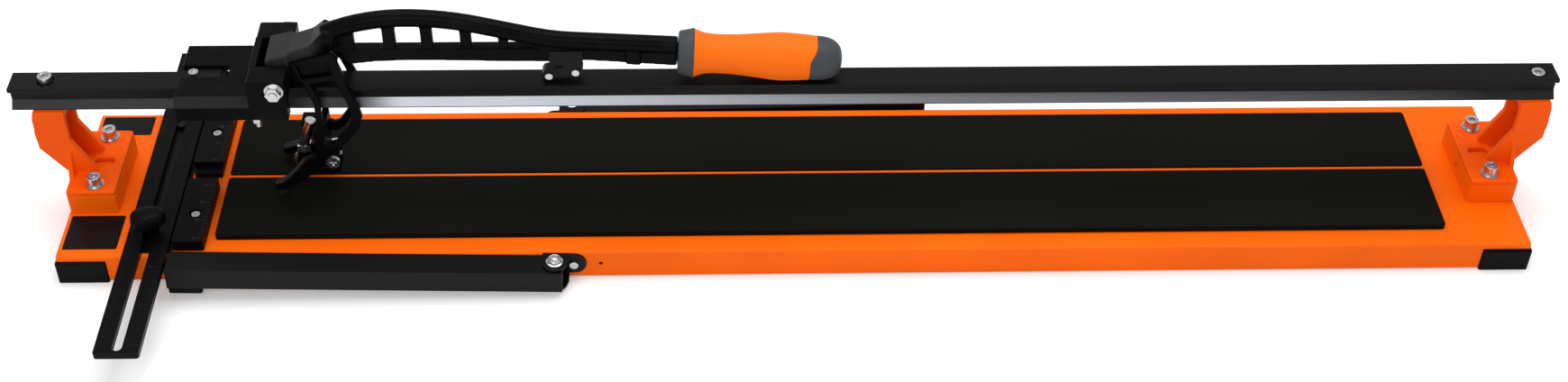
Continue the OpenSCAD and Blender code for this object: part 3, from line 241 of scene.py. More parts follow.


# %% [markdown]
# ## Cast black
# The carriage, the lever and the yoke are die castings with a thin black coat that handling has
# rubbed paler in patches, which a soft noise gives. Two faces get a painted highlight, a paler
# base colour that stands in for the light they catch: the bevel along the carriage's front and
# the flat of the lever's head. Each is found by a mask on the place, because a mask needs no
# extra mesh.

# %% Cast black
def cast_black(name, color, roughness, shine, highlighted=None, highlight_tone=None):
    finish = Finish(name, Specular_IOR_Level=shine)
    patch = finish.noise(26.0, 4.0)
    skin = finish.noise(420.0, 3.0)
    paler = tuple(c * 1.9 + 0.002 for c in color)
    tone = finish.mix(patch.ramp(0.45, 0.8), color, paler)
    # Painted highlight: a paler colour on the masked face stands in for the light it catches.
    if highlighted:
        tone = finish.mix(highlighted(finish), tone, highlight_tone)
    finish.set(Base_Color=tone)
    finish.set(Roughness=roughness + (patch - 0.5) * 0.2 + (skin - 0.5) * 0.15)
    finish.bump(skin, 0.3, 0.0002)
    return finish.material


CLEVIS_RISE, CLEVIS_LENGTH = 0.022, 0.0355
BEVEL, BEVEL_EDGE = 0.0072, 0.0006
carriage_low, carriage_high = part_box("carriage_body")
lever_pivot = Vector(joints["lever_hinge"]["pos_m"])


# The carriage's front bevel gets a painted highlight.
def front_bevel(finish):
    """On the bevel, the way back from the front and the way down from the top add up to its width."""
    top = carriage_high.z - CLEVIS_RISE
    fall = (finish.axis("Y") - carriage_low.y) + (top - finish.axis("Z"))
    left_of_clevis = finish.axis("X").below(carriage_high.x - CLEVIS_LENGTH)
    return fall.between(BEVEL - BEVEL_EDGE, BEVEL + BEVEL_EDGE) * left_of_clevis


# The flat of the lever's head gets a painted highlight.
def head_flat(finish):
    """The lever's head is what lies above the pivot, before the arch starts."""
    before_arch = finish.axis("X").ramp(lever_pivot.x + 0.027, lever_pivot.x + 0.045, 1.0, 0.0)
    return before_arch * finish.axis("Z").ramp(lever_pivot.z + 0.005, lever_pivot.z + 0.013)


CAST_TONE = (0.0018, 0.0019, 0.0021)
black_casting = cast_black("black_casting", CAST_TONE, roughness=0.33, shine=0.05)
# The lever's head flat and the carriage's front bevel get a painted highlight, a paler colour under a mask.
lever_casting = cast_black("lever_casting", CAST_TONE, roughness=0.33, shine=0.045,
                           highlighted=head_flat, highlight_tone=(0.024, 0.0245, 0.026))
carriage_casting = cast_black("carriage_casting", (0.0022, 0.0023, 0.0025), roughness=0.36, shine=0.045,
                              highlighted=front_bevel, highlight_tone=(0.017, 0.0175, 0.0185))
print("castings", black_casting.name, lever_casting.name, carriage_casting.name)


# %% [markdown]
# ## Rail
# The rail is a black anodised extrusion. Its drawn surface has streaks along its length, made by
# a noise stretched along X. The lower bevel is bright, and a mask on the height finds it. On the
# bevel a painted highlight is brightest just right of the carriage and fades toward the right
# end, and a painted shadow of the carriage darkens its left end, where the carriage is parked, so
# two ramps along X are multiplied into the mask.

# %% Rail
BRIGHT_FROM, BRIGHT_TO = 0.0007, 0.0077
HIGHLIGHT_FADE_END, HIGHLIGHT_FADE_LENGTH = 0.66, 0.9
SHADE_END, SHADE_START = -0.42, -0.36
rail_low, rail_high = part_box("rail")


def rail_finish():
    finish = Finish("anodised_rail", Specular_IOR_Level=0.11)
    streak = finish.noise(60.0, 3.0, finish.stretched(0.02, 6.0, 6.0))
    x = finish.axis("X")
    bevel = finish.axis("Z").between(rail_low.z + BRIGHT_FROM, rail_low.z + BRIGHT_TO)
    # Painted highlight fading toward the right end, and painted shadow of the carriage at the left end.
    highlight_fade = ((HIGHLIGHT_FADE_END - x) / HIGHLIGHT_FADE_LENGTH).kept_within(0.0, 1.0) ** 0.75
    shade = x.ramp(SHADE_END, SHADE_START, 0.12, 1.0)
    bright_bevel_and_painted_light = bevel * (highlight_fade * 0.94 + 0.06) * (0.7 + streak * 0.6) * shade
    dark = finish.mix(streak, (0.0025, 0.0025, 0.0027), (0.006, 0.006, 0.0064))
    finish.set(Base_Color=finish.mix(bright_bevel_and_painted_light, dark, (0.3, 0.31, 0.335)))
    finish.set(Metallic=bright_bevel_and_painted_light * 0.9)
    finish.set(Roughness=0.34 - bright_bevel_and_painted_light * 0.04 + (streak - 0.5) * 0.2)
    finish.bump(streak, 0.06, 0.0001)
    return finish.material


anodised = rail_finish()
print("rail", round(rail_high.x - rail_low.x, 4), "long")


# %% [markdown]
# ## Fasteners and wheel
# Bolts and nuts are zinc plated, a soft bluish metal with a slight mottle. The wheel holder is
# bright chrome, and the wheel is ground carbide, which is darker. They differ only in colour,
# polish and the size of the mottle, so one function makes them all.

# %% Metals
def metal(name, color, roughness, mottle):
    finish = Finish(name, Metallic=1.0)
    cloud = finish.noise(mottle, 4.0)
    fine = finish.noise(mottle * 9.0, 2.0)
    finish.set(Base_Color=finish.mix(cloud, toned(color, 0.8), color))
    finish.set(Roughness=roughness + (cloud - 0.5) * 0.25)
    finish.bump(fine, 0.1, 0.00008)
    return finish.material


zinc = metal("zinc_plate", (0.62, 0.63, 0.645), roughness=0.27, mottle=240.0)
bearing_steel = metal("ground_steel", (0.62, 0.63, 0.65), roughness=0.22, mottle=160.0)
chrome = metal("chrome_plate", (0.86, 0.87, 0.88), roughness=0.12, mottle=90.0)
carbide = metal("ground_carbide", (0.5, 0.5, 0.48), roughness=0.28, mottle=300.0)
print("metals", zinc.name, bearing_steel.name, chrome.name, carbide.name)


# %% [markdown]
# ## Plastics and rubber
# Caps, stops and the knob are moulded with a fine spark texture. The grip's rubber is softer and
# more matt. The pads are foam rubber with closed pores, made by a Voronoi pattern in the bump.
# The printed scales and the bare vinyl plates use the moulded finish too.

# %% Moulded finishes
def moulded(name, color, roughness, grain, shine=0.12, depth=0.00015):
    finish = Finish(name, Specular_IOR_Level=shine)
    spark = finish.noise(grain, 3.0)
    wide = finish.noise(14.0, 2.0)
    finish.set(Base_Color=finish.mix(wide, toned(color, 0.85), color))
    finish.set(Roughness=roughness + (spark - 0.5) * 0.2)
    finish.bump(spark, 0.3, depth)
    return finish.material


black_plastic = moulded("black_moulding", (0.002, 0.002, 0.0022), roughness=0.42, grain=1100.0, shine=0.06)
nylon = moulded("dark_nylon", (0.006, 0.006, 0.0065), roughness=0.4, grain=700.0)
orange_grip = moulded("orange_grip", (1.0, 0.165, 0.004), roughness=0.44, grain=900.0, shine=0.1)
grey_grip = moulded("grey_grip", (0.054, 0.061, 0.067), roughness=0.5, grain=900.0, shine=0.2)
tip_rubber = moulded("tip_rubber", (0.011, 0.011, 0.008), roughness=0.6, grain=700.0)
label_vinyl = moulded("label_vinyl", (0.004, 0.004, 0.0042), roughness=0.34, grain=500.0, depth=0.00004)
scale_print = moulded("scale_print", (0.042, 0.043, 0.047), roughness=0.6, grain=1500.0)
faint_print = moulded("faint_print", (0.013, 0.013, 0.014), roughness=0.6, grain=1500.0)
print("moulded finishes from", black_plastic.name, "to", faint_print.name)


# %% Foam
def foam(name, color):
    finish = Finish(name, Specular_IOR_Level=0.05)
    cells = {"Vector": finish.place(), "Scale": 900.0}
    pores = finish.node("ShaderNodeTexVoronoi", {"feature": "F1"}, cells)
    wide = finish.noise(7.0, 4.0)
    finish.set(Base_Color=finish.mix(wide.ramp(0.35, 0.7), toned(color, 0.8), color))
    finish.set(Roughness=0.72 + (wide - 0.5) * 0.15)
    finish.bump(pores, 0.35, 0.0002)
    return finish.material


pad_foam = foam("pad_foam", (0.0052, 0.0052, 0.0042))
print("foam", pad_foam.name)


# %% [markdown]
# ## Finishes on the solids
# Each solid names the slot that its material goes into, so a table from slot to finish dresses
# all of them in one loop. Five solids look unlike the rest of their slot and get their own.

# %% Finishes on the solids
FINISHES = {
    "orange_coat": orange_coat, "orange_casting": orange_casting, "black_coat": black_coat,
    "black_casting": black_casting, "black_anodised": anodised, "black_plastic": black_plastic,
    "pad_rubber": pad_foam, "tip_rubber": tip_rubber, "zinc": zinc, "bearing_steel": bearing_steel,
    "chrome_plate": chrome, "carbide": carbide, "nylon": nylon, "orange_grip": orange_grip,
    "grey_grip": grey_grip,
}
# The fence bar's own finish is a darker copy of the black coat, as painted shade.
OWN_FINISHES = {
    "carriage_body": carriage_casting, "handle_lever": lever_casting, "fence_bar": shaded_fence_coat,
    "fence_guide_pin": black_coat, "fence_stud": black_coat,
}
for name, solid in nodes.items():
    solid.data.materials.clear()
    solid.data.materials.append(OWN_FINISHES.get(name, FINISHES[slot_of[name]]))
print("finishes on", len(nodes), "solids")


# %% [markdown]
# ## Pieces of mesh
# A piece is made from bmesh, kept at the origin with its place in its vertices, and rides on the
# body that carries it. Many pieces are a stack of rings, so one helper puts faces between them.

# %% Pieces of mesh
def piece(name, mesh, body, material):
    mesh.materials.clear()
    mesh.materials.append(material)
    made = placed(bpy.data.objects.new(name, mesh))
    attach(made, body)
    return made


def skinned(bm, rings):
    """Faces between neighbouring rings, and a cap on each end."""
    for lower, upper in zip(rings, rings[1:]):
        for i in range(len(lower)):
            j = (i + 1) % len(lower)
            bm.faces.new((lower[i], lower[j], upper[j], upper[i]))
    bm.faces.new(rings[0])
    bm.faces.new(rings[-1])


def from_bmesh(name, bm, smooth=False):
    """A plain mesh with its doubles merged and its faces pointing outwards."""
    bmesh.ops.remove_doubles(bm, verts=bm.verts, dist=1e-7)
    bmesh.ops.recalc_face_normals(bm, faces=bm.faces)
    mesh = bpy.data.meshes.new(name)
    bm.to_mesh(mesh)
    bm.free()
    for face in mesh.polygons:
        face.use_smooth = smooth
    return mesh


def applied(made):
    """The object's mesh with its modifiers applied."""
    graph = bpy.context.evaluated_depsgraph_get()
    graph.update()
    return bpy.data.meshes.new_from_object(made.evaluated_get(graph), depsgraph=graph)


# %% [markdown]
# ## Pads
# The two foam pads are cut from sheet, with a crisp face and an edge that the knife leaves
# slightly rounded. Each is a rounded rectangle that is drawn up, with its top edge bevelled.
# They give under a tile.

# %% Pads
def rounded_corners(low, high, radius, steps=6):
    """The outline of a rectangle with rounded corners, counter-clockwise."""
    ring = []
    middles = (
        (high.x - radius, high.y - radius), (low.x + radius, high.y - radius),
        (low.x + radius, low.y + radius), (high.x - radius, low.y + radius),
    )
    for quarter, (x, y) in enumerate(middles):
        for i in range(steps + 1):
            a = math.pi / 2 * (quarter + i / steps)
            ring.append((x + radius * math.cos(a), y + radius * math.sin(a)))
    return ring


def sheet_pad(name, low, high, radius=0.003, edge=0.0007):
    bm = bmesh.new()
    rings = []
    for inset, drop in ((0.0, high.z - low.z), (0.0, edge), (edge * 0.3, edge * 0.3), (edge, 0.0)):
        shrink = Vector((inset, inset, 0))
        outline = rounded_corners(low + shrink, high - shrink, radius)
        rings.append([bm.verts.new((x, y, high.z - drop)) for x, y in outline])
    skinned(bm, rings)
    return from_bmesh(name, bm)


for side in ("front", "rear"):
    low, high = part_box(side + "_pad")
    mesh = sheet_pad(side + "_foam_pad", low, high)
    mat = piece(mesh.name, mesh, "base", pad_foam)
    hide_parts(side + "_pad")
    print(mat.name, round(high.x - low.x, 4), "long")


# %% [markdown]
# ## Worked copies
# The measured solids keep their meshes, so a shape that needs work is a copy. Its loose
# triangles are joined into flat faces, modifiers work it, and it then stands in for the solid.

# %% Worked copies
CREASE = math.radians(32.0)


def joined(name):
    """A copy of one solid's mesh with its loose triangles joined into flat faces."""
    bm = bmesh.new()
    bm.from_mesh(nodes[name].data)
    bmesh.ops.remove_doubles(bm, verts=bm.verts, dist=2e-6)
    bmesh.ops.dissolve_limit(bm, angle_limit=math.radians(0.6), verts=bm.verts, edges=bm.edges)
    mesh = bpy.data.meshes.new(name + "_copy")
    bm.to_mesh(mesh)
    bm.free()
    mesh.set_sharp_from_angle(angle=CREASE)
    return mesh


def worked(name, mesh, *steps):
    """The mesh after a row of modifiers, each given as its type and its settings."""
    rough = placed(bpy.data.objects.new(name, mesh))
    for kind, settings in steps:
        step = rough.modifiers.new(kind.lower(), kind)
        for key, value in settings.items():
            setattr(step, key, value)
    done = applied(rough)
    bpy.data.objects.remove(rough)
    done.name = name
    for face in done.polygons:
        face.use_smooth = True
    return done


def dressed(mesh, node, material=None):
    """Puts a worked mesh in the place of one solid, on its body."""
    finish = material or nodes[node].data.materials[0]
    made = piece(mesh.name, mesh, body_of[node], finish)
    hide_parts(node)
    return made


print("crease at", round(math.degrees(CREASE)), "degrees")


# %% [markdown]
# ## Soft edges
# No real edge is razor sharp: the coat rounds a folded sheet, and a moulding has a small radius.
# A rounded edge catches a thin line of light. A Bevel modifier rounds every edge over the crease
# angle, by a width in millimetres, and a Weighted Normal keeps the flat faces flat. Where a
# plate's holes lie near an edge, the bevel is clamped, so that it can't run into them.

# %% Soft edges
EDGES = {
    "base_tray": 0.25, "breaking_bar": 0.5, "left_block": 0.8, "right_block": 0.8,
    "corner_cap_1": 0.25, "corner_cap_2": 0.25, "corner_cap_3": 0.25, "corner_cap_4": 0.25,
    "rail": 0.5, "front_stop_plate": 0.5, "rear_stop_plate": 0.5, "fence_bar": 0.5,
    "front_arm": 0.6, "rear_arm": 0.6, "front_arm_foot": 0.8, "rear_arm_foot": 0.8,
    "front_arm_hinge": 0.35, "rear_arm_hinge": 0.35, "carriage_body": 0.9, "link_clip": 0.3,
    "rest_link": 0.5, "pivot_nut": 0.4, "bracket_bolts": 0.5, "rail_bolts": 0.5,
}
HOLED = ("front_stop_plate", "rear_stop_plate", "fence_bar")
SETTLED = ("WEIGHTED_NORMAL", {"weight": 60, "keep_sharp": True})


def rounding(name, width):
    return ("BEVEL", {
        "width": width / 1000.0, "segments": 3, "limit_method": "ANGLE",
        "angle_limit": CREASE, "use_clamp_overlap": name in HOLED,
    })


for name, width in EDGES.items():
    made = dressed(worked(name + "_soft", joined(name), rounding(name, width), SETTLED), name)
    print(made.name, len(made.data.polygons))


# %% [markdown]
# ## Castings
# The lever, its yoke, the foot and the two brackets are cast. In a casting every face runs into
# the next with a fillet, because a sharp corner wouldn't fill or leave the die. A voxel remesh
# turns the copy into one even skin, and a few rounds of smoothing then melt its edges and fill
# its corners. The table gives the voxel's size in millimetres and the number of rounds.

# %% Castings
CASTINGS = {
    "handle_lever": (0.9, 9), "yoke_front": (0.6, 5), "yoke_rear": (0.6, 5), "yoke_cross": (0.7, 4),
    "breaker_foot": (0.6, 6), "left_bracket": (0.8, 9), "right_bracket": (0.8, 9),
}
for name, (voxel, rounds) in CASTINGS.items():
    even_skin = ("REMESH", {"mode": "VOXEL", "voxel_size": voxel / 1000.0})
    melted = ("SMOOTH", {"factor": 0.5, "iterations": rounds})
    made = dressed(worked(name + "_cast", joined(name), even_skin, melted), name)
    print(made.name, len(made.data.polygons))


# %% [markdown]
# ## Turned shapes
# The grip and the lock nuts are turned or moulded round an axis. A lathe in mesh code takes a
# profile of stations along the axis, each with its radius, and closes both poles. A shift that
# depends on the height round the axis lets a joint line run in a wave round the grip.

# %% Lathe
def lathe(name, base, axis, profile, sides=64, shift=None):
    """A closed turned shape from rows of station, radius and, if wanted, share of the shift, in mm."""
    axis = axis.normalized()
    up = Vector((0.0, 0.0, 1.0)) - axis * axis.z
    up = up.normalized() if up.length > 0.2 else Vector((0.0, 1.0, 0.0))
    side = axis.cross(up).normalized()
    bm = bmesh.new()
    rings = []
    for station, radius, *share in profile:
        ring = []
        for i in range(sides):
            a = 2 * math.pi * i / sides
            along = station + (shift(math.sin(a)) * share[0] if share else 0.0)
            spoke = up * math.sin(a) + side * math.cos(a)
            ring.append(bm.verts.new(base + (axis * along + spoke * radius) / 1000.0))
        rings.append(ring)
    skinned(bm, rings)
    return from_bmesh(name, bm, smooth=True)


def eased(points, steps=5):
    """The profile with smooth curves between its points, by Catmull-Rom weights."""
    ends = [points[0], *points, points[-1]]
    out = []
    for before, a, b, after in zip(ends, ends[1:], ends[2:], ends[3:]):
        for i in range(steps):
            t = i / steps
            w = (-t**3 + 2 * t**2 - t, 3 * t**3 - 5 * t**2 + 2, -3 * t**3 + 4 * t**2 + t, t**3 - t**2)
            rows = zip(before, a, b, after)
            out.append(tuple(sum(k * v for k, v in zip(w, row)) / 2 for row in rows))
    return out + [points[-1]]


print("an eased step has", len(eased([(0.0, 1.0), (1.0, 2.0)])), "points")


# %% [markdown]
# ## Grip
# The grip is a moulded orange sleeve between a grey collar and a grey end cap. The sleeve flares
# to a lip at the collar, narrows for the fingers and swells for the palm. The joint with the
# end cap steps back on the lower half, so both pieces share one wave.

# %% Grip
GRIP_FALL = math.radians(3.5)
GRIP_AXIS = Vector((math.cos(GRIP_FALL), 0.0, -math.sin(GRIP_FALL)))
COLLAR, SLEEVE = 16.0, 112.0
CAP = COLLAR + SLEEVE
LIP = COLLAR - 1.3
CORE = 10.0
collar_low, collar_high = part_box("grip_collar")
grip_base = (collar_low + collar_high) / 2 - GRIP_AXIS * (COLLAR / 2000.0)


def joint_wave(height):
    """How far the joint steps back, in mm, from none at the top to all at the bottom."""
    t = min(max((0.95 - height) / 0.65, 0.0), 1.0)
    return 0.8 - 6.2 * t * t * (3 - 2 * t)


GRIP = {
    "grip_collar": [
        (0.0, 12.0), (0.0, 18.0), (0.6, 19.5), (1.6, 20.3), (7.5, 21.5), (LIP - 1.2, 22.9),
        (LIP - 0.3, 23.2), (LIP, 22.9), (LIP, CORE),
    ],
    "grip_sleeve": [(LIP, CORE), (LIP, 22.6), *eased([
        (LIP + 0.3, 22.5, 0), (COLLAR + 4.0, 20.6, 0), (COLLAR + 10.0, 19.0, 0), (COLLAR + 20.0, 18.35, 0),
        (COLLAR + 36.0, 18.7, 0), (COLLAR + 55.0, 20.4, 0.1), (COLLAR + 74.0, 22.2, 0.3),
        (COLLAR + 85.0, 22.5, 0.5), (COLLAR + 100.0, 21.7, 0.8), (CAP - 0.5, 20.9, 1),
    ]), (CAP, 20.6, 1), (CAP, CORE, 1)],
    "grip_end_cap": [(CAP + 0.1, CORE, 1), (CAP + 0.1, 20.3, 1), *eased([
        (CAP + 0.5, 20.7, 1), (CAP + 3.5, 20.6, 0.6), (CAP + 5.6, 20.5, 0.0),
    ]), (CAP + 5.9, 20.1), (CAP + 6.2, 20.4), *eased([
        (CAP + 6.6, 20.4), (CAP + 11.0, 19.6), (CAP + 16.0, 17.8), (CAP + 20.5, 14.6),
        (CAP + 23.4, 10.4), (CAP + 24.8, 5.0), (CAP + 25.0, 1.0),
    ])],
}
for name, profile in GRIP.items():
    made = dressed(lathe(name + "_turned", grip_base, GRIP_AXIS, profile, 96, joint_wave), name)
    print(made.name, len(made.data.polygons))


# %% [markdown]
# ## Knob
# The fence is clamped by a hand knob: a narrow stem under a soft oval head. Both are one plan
# outline drawn up in rings. The outline is an oval with square-ish shoulders, turned a little,
# and the rings draw in at the top in a shallow dome. The table gives each ring's share of the
# outline and its height in millimetres.

# %% Knob
SHOULDERS = 2.5
KNOB_TURN = math.radians(21.0)
KNOB_RINGS = [
    (0.5, 0.0), (0.5, 9.4), (0.56, 10.0), (0.86, 10.4), (0.95, 11.2), (0.99, 12.4), (1.0, 14.2),
    (0.985, 18.2), (0.95, 20.6), (0.88, 22.2), (0.78, 23.2), (0.62, 23.9), (0.4, 24.3),
    (0.15, 24.4), (0.02, 24.4),
]
knob_low, knob_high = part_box("fence_knob")
knob_middle = (knob_low + knob_high) / 2
knob_long = (knob_high.x - knob_low.x) / 2 * 0.93
knob_wide = (knob_high.y - knob_low.y) / 2 * 0.8


def knob_ring(share, height, sides=96):
    ring = []
    for i in range(sides):
        a = 2 * math.pi * i / sides
        c, s = math.cos(a), math.sin(a)
        reach = (abs(c) ** SHOULDERS + abs(s) ** SHOULDERS) ** (-1 / SHOULDERS)
        swell = 1.0 + 0.05 * math.cos(3 * a + 0.5)
        spoke = Vector((knob_long * c, knob_wide * s, 0.0)) * (reach * swell * share)
        x, y, _ = Matrix.Rotation(KNOB_TURN, 3, "Z") @ spoke
        ring.append((knob_middle.x + x, knob_middle.y + y, knob_low.z + height / 1000.0))
    return ring


bm = bmesh.new()
skinned(bm, [[bm.verts.new(v) for v in knob_ring(share, height)] for share, height in KNOB_RINGS])
made = dressed(from_bmesh("fence_knob_head", bm, smooth=True), "fence_knob")
print(made.name, round(knob_long * 2, 4), "long")


# %% [markdown]
# ## Arm pivots
# Each support arm turns on a bolt with a lock nut: a zinc washer and nut with a rounded crown
# round the bolt's end. The shaft between the hinge plates is coloured near black, not metal. A nut
# and its bolt are one turned shape, with a mask on the height for the shaft.

# %% Arm pivots
def pivot_zinc(low, high):
    finish = Finish("pivot_zinc", Specular_IOR_Level=0.3)
    cloud = finish.noise(240.0, 4.0)
    shaft = finish.axis("Z").between(low, high)
    silver = finish.mix(cloud, (0.58, 0.59, 0.6), (0.76, 0.77, 0.78))
    finish.set(Base_Color=finish.mix(shaft, silver, (0.02, 0.02, 0.02)))
    finish.set(Metallic=1.0 - shaft, Roughness=0.28 + (cloud - 0.5) * 0.2)
    return finish.material


_, hinge_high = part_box("front_arm_hinge")
bolts_low, bolts_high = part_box("arm_pivot_bolts")
PIVOT_TOP = (bolts_high.z - bolts_low.z) * 1000.0
PLATE_TOP = (hinge_high.z - bolts_low.z) * 1000.0
head = [(0.0, 0.5), (0.0, 6.2), (0.4, 6.9), (3.4, 6.9), (3.9, 6.2)]
shaft = [(3.9, 4.0), (PLATE_TOP - 0.9, 4.0)]
washer = [(PLATE_TOP - 0.9, 8.0), (PLATE_TOP + 0.9, 8.0), (PLATE_TOP + 1.3, 7.4), (PLATE_TOP + 1.4, 6.5)]
crown = [(PIVOT_TOP - 2.0, 6.3), (PIVOT_TOP - 1.2, 5.4), (PIVOT_TOP - 1.3, 4.5), (PIVOT_TOP - 2.2, 4.2)]
bolt_end = [(PIVOT_TOP - 2.2, 3.2), (PIVOT_TOP - 0.6, 3.0), (PIVOT_TOP - 0.1, 2.2), (PIVOT_TOP - 0.1, 0.4)]
pivots = bmesh.new()
for name in ("front_arm_swing", "rear_arm_swing"):
    axis = Vector(joints[name]["axis"])
    foot = Vector(joints[name]["pos_m"]) + axis * bolts_low.z
    pivots.from_mesh(lathe("nut", foot, axis, head + shaft + washer + crown + bolt_end, 48))
mesh = from_bmesh("arm_pivot_nuts", pivots, smooth=True)
mesh.set_sharp_from_angle(angle=math.radians(40.0))
made = dressed(mesh, "arm_pivot_bolts", pivot_zinc(bolts_low.z + 0.004, hinge_high.z - 0.001))
print(made.name, len(made.data.polygons))


# %% [markdown]
# ## Printed scales
# The fence bar and the two stop plates are graduated. A row of marks is one rule, so Geometry
# Nodes draw it: a line of points, a thin bar on each, every fifth one longer. The sizes are the
# tree's own inputs, so one tree serves every scale.

# %% Tick tree
def tick_tree():
    tree = bpy.data.node_groups.new("tick_row", "GeometryNodeTree")
    tree.interface.new_socket("Geometry", in_out="OUTPUT", socket_type="NodeSocketGeometry")
    for name in ("Count", "Pitch", "Length", "Width", "Height", "Start", "Paint"):
        kind = {"Count": "Int", "Start": "Vector", "Paint": "Material"}.get(name, "Float")
        tree.interface.new_socket(name, in_out="INPUT", socket_type="NodeSocket" + kind)
    given = tree.nodes.new("NodeGroupInput").outputs

    def add(kind, values, **settings):
        made = tree.nodes.new(kind)
        for key, value in settings.items():
            setattr(made, key, value)
        for key, value in values.items():
            if isinstance(value, bpy.types.NodeSocket):
                tree.links.new(value, made.inputs[key])
            else:
                made.inputs[key].default_value = value
        return made.outputs[0]

    step = add("ShaderNodeCombineXYZ", {"Y": given["Pitch"]})
    line = {"Count": given["Count"], "Start Location": given["Start"], "Offset": step}
    points = add("GeometryNodeMeshLine", line, mode="OFFSET")
    size = add("ShaderNodeCombineXYZ", {"X": given["Length"], "Y": given["Width"], "Z": given["Height"]})
    bar = add("GeometryNodeMeshCube", {"Size": size})
    back = add("ShaderNodeMath", {0: given["Length"], 1: -0.5}, operation="MULTIPLY")
    shift = add("ShaderNodeCombineXYZ", {"X": back})
    mark = add("GeometryNodeTransform", {"Geometry": bar, "Translation": shift})
    index = add("GeometryNodeInputIndex", {})
    fifth = add("ShaderNodeMath", {0: index, 1: 5.0}, operation="MODULO")
    major = add("ShaderNodeMath", {0: fifth, 1: 0.5}, operation="LESS_THAN")
    longer = add("ShaderNodeMath", {0: major, 1: 0.7, 2: 1.0}, operation="MULTIPLY_ADD")
    scale = add("ShaderNodeCombineXYZ", {"X": longer, "Y": 1.0, "Z": 1.0})
    marks = add("GeometryNodeInstanceOnPoints", {"Points": points, "Instance": mark, "Scale": scale})
    real = add("GeometryNodeRealizeInstances", {"Geometry": marks})
    painted = add("GeometryNodeSetMaterial", {"Geometry": real, "Material": given["Paint"]})
    tree.links.new(painted, tree.nodes.new("NodeGroupOutput").inputs[0])
    return tree


TICKS = tick_tree()
print("tick tree", len(TICKS.nodes), "nodes")


# %% [markdown]
# ## Rows and numbers
# A row is the tree's result on an empty mesh. A number is a text curve turned into a mesh before
# it is put in its place. Both are as thin as ink, and each scale joins them into one piece.

# %% Rows and numbers
PITCH = 0.005
INK = 0.00008
NUMBER_INK = 0.00003


def tick_row(name, paint, **sizes):
    """A plain mesh of one graduated row."""
    row = placed(bpy.data.objects.new(name, bpy.data.meshes.new(name)))
    marks = row.modifiers.new("marks", "NODES")
    marks.node_group = TICKS
    given = {"Pitch": PITCH, "Height": INK, "Paint": paint, **sizes}
    for socket in TICKS.interface.items_tree:
        if socket.in_out == "INPUT":
            marks[socket.identifier] = given[socket.name]
    mesh = applied(row)
    bpy.data.objects.remove(row)
    mesh.name = name
    return mesh


def numeral(number, place, size):
    """A printed number, as a thin mesh lying on the surface and read from the front."""
    curve = bpy.data.curves.new("number", "FONT")
    curve.body, curve.size, curve.align_x, curve.align_y = str(number), size, "RIGHT", "CENTER"
    curve.extrude = NUMBER_INK
    letters = placed(bpy.data.objects.new("number", curve))
    mesh = applied(letters)
    bpy.data.objects.remove(letters)
    mesh.transform(Matrix.Translation(place))
    return mesh


def numerals(count, step, x, first, z, size):
    """The numbers beside every so many ticks, in millimetres from the first tick."""
    return [
        numeral(round(k * PITCH * 1000), Vector((x, first + k * PITCH, z)), size)
        for k in range(0, count, step)
    ]


def scale_piece(name, body, meshes, material):
    bm = bmesh.new()
    for mesh in meshes:
        bm.from_mesh(mesh)
    bmesh.ops.recalc_face_normals(bm, faces=bm.faces)
    whole = bpy.data.meshes.new(name)
    bm.to_mesh(whole)
    bm.free()
    return piece(name, whole, body, material)


print("a tick every", PITCH * 1000, "mm")


# %% Scales on the stop plates
FIRST_TICK = {"front": 0.005, "rear": 0.014}
LAST_TICK = 0.003
STOP_TICK = {"Length": 0.0035, "Width": 0.0004}
STOP_TICKS_IN, STOP_NUMBERS_IN, STOP_NUMBER = 0.0006, 0.0078, 0.0042
for side, inset in FIRST_TICK.items():
    low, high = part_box(side + "_stop_plate")
    first = low.y + inset
    count = int((high.y - first - LAST_TICK) / PITCH) + 1
    start = Vector((high.x - STOP_TICKS_IN, first, high.z))
    ticks = tick_row(side + "_stop_ticks", scale_print, Count=count, Start=start, **STOP_TICK)
    numbers = numerals(count, 5, high.x - STOP_NUMBERS_IN, first, high.z, STOP_NUMBER)
    made = scale_piece(side + "_stop_scale", "base", [ticks, *numbers], scale_print)
    print(made.name, count, "ticks")


# %% Scale on the fence
FENCE_END = 0.012
FENCE_TICK = 0.00045
FENCE_NUMBERS_IN, FENCE_NUMBER = 0.0082, 0.0038
fence_low, fence_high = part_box("fence_bar")
first = fence_low.y + FENCE_END
count = int((fence_high.y - fence_low.y - 2 * FENCE_END) / PITCH)
meshes = []
for x, length in ((fence_high.x - 0.0012, 0.0035), (fence_low.x + 0.0062, 0.003)):
    sizes = {"Count": count, "Length": length, "Width": FENCE_TICK}
    meshes.append(tick_row("fence_ticks", faint_print, Start=Vector((x, first, fence_high.z)), **sizes))
meshes += numerals(count, 10, fence_high.x - FENCE_NUMBERS_IN, first, fence_high.z, FENCE_NUMBER)
made = scale_piece("fence_scale", "fence", meshes, faint_print)
print(made.name, count, "ticks")


# %% [markdown]
# ## Label plates
# Two thin vinyl plates lie on the tray beside the left block. They are left bare. A third strip
# of the same vinyl lies under the fence's slot, where the bar slides, and runs on under the bar
# to the stop plate, where it is painted shade: a dark sheet that makes the gap between the fence
# and the stop plate read dark. Each is given by two corners, set in from the tray's edges, the
# fence, the block and the stop plate, and is let into the tray by a hair, so that no gap shows.

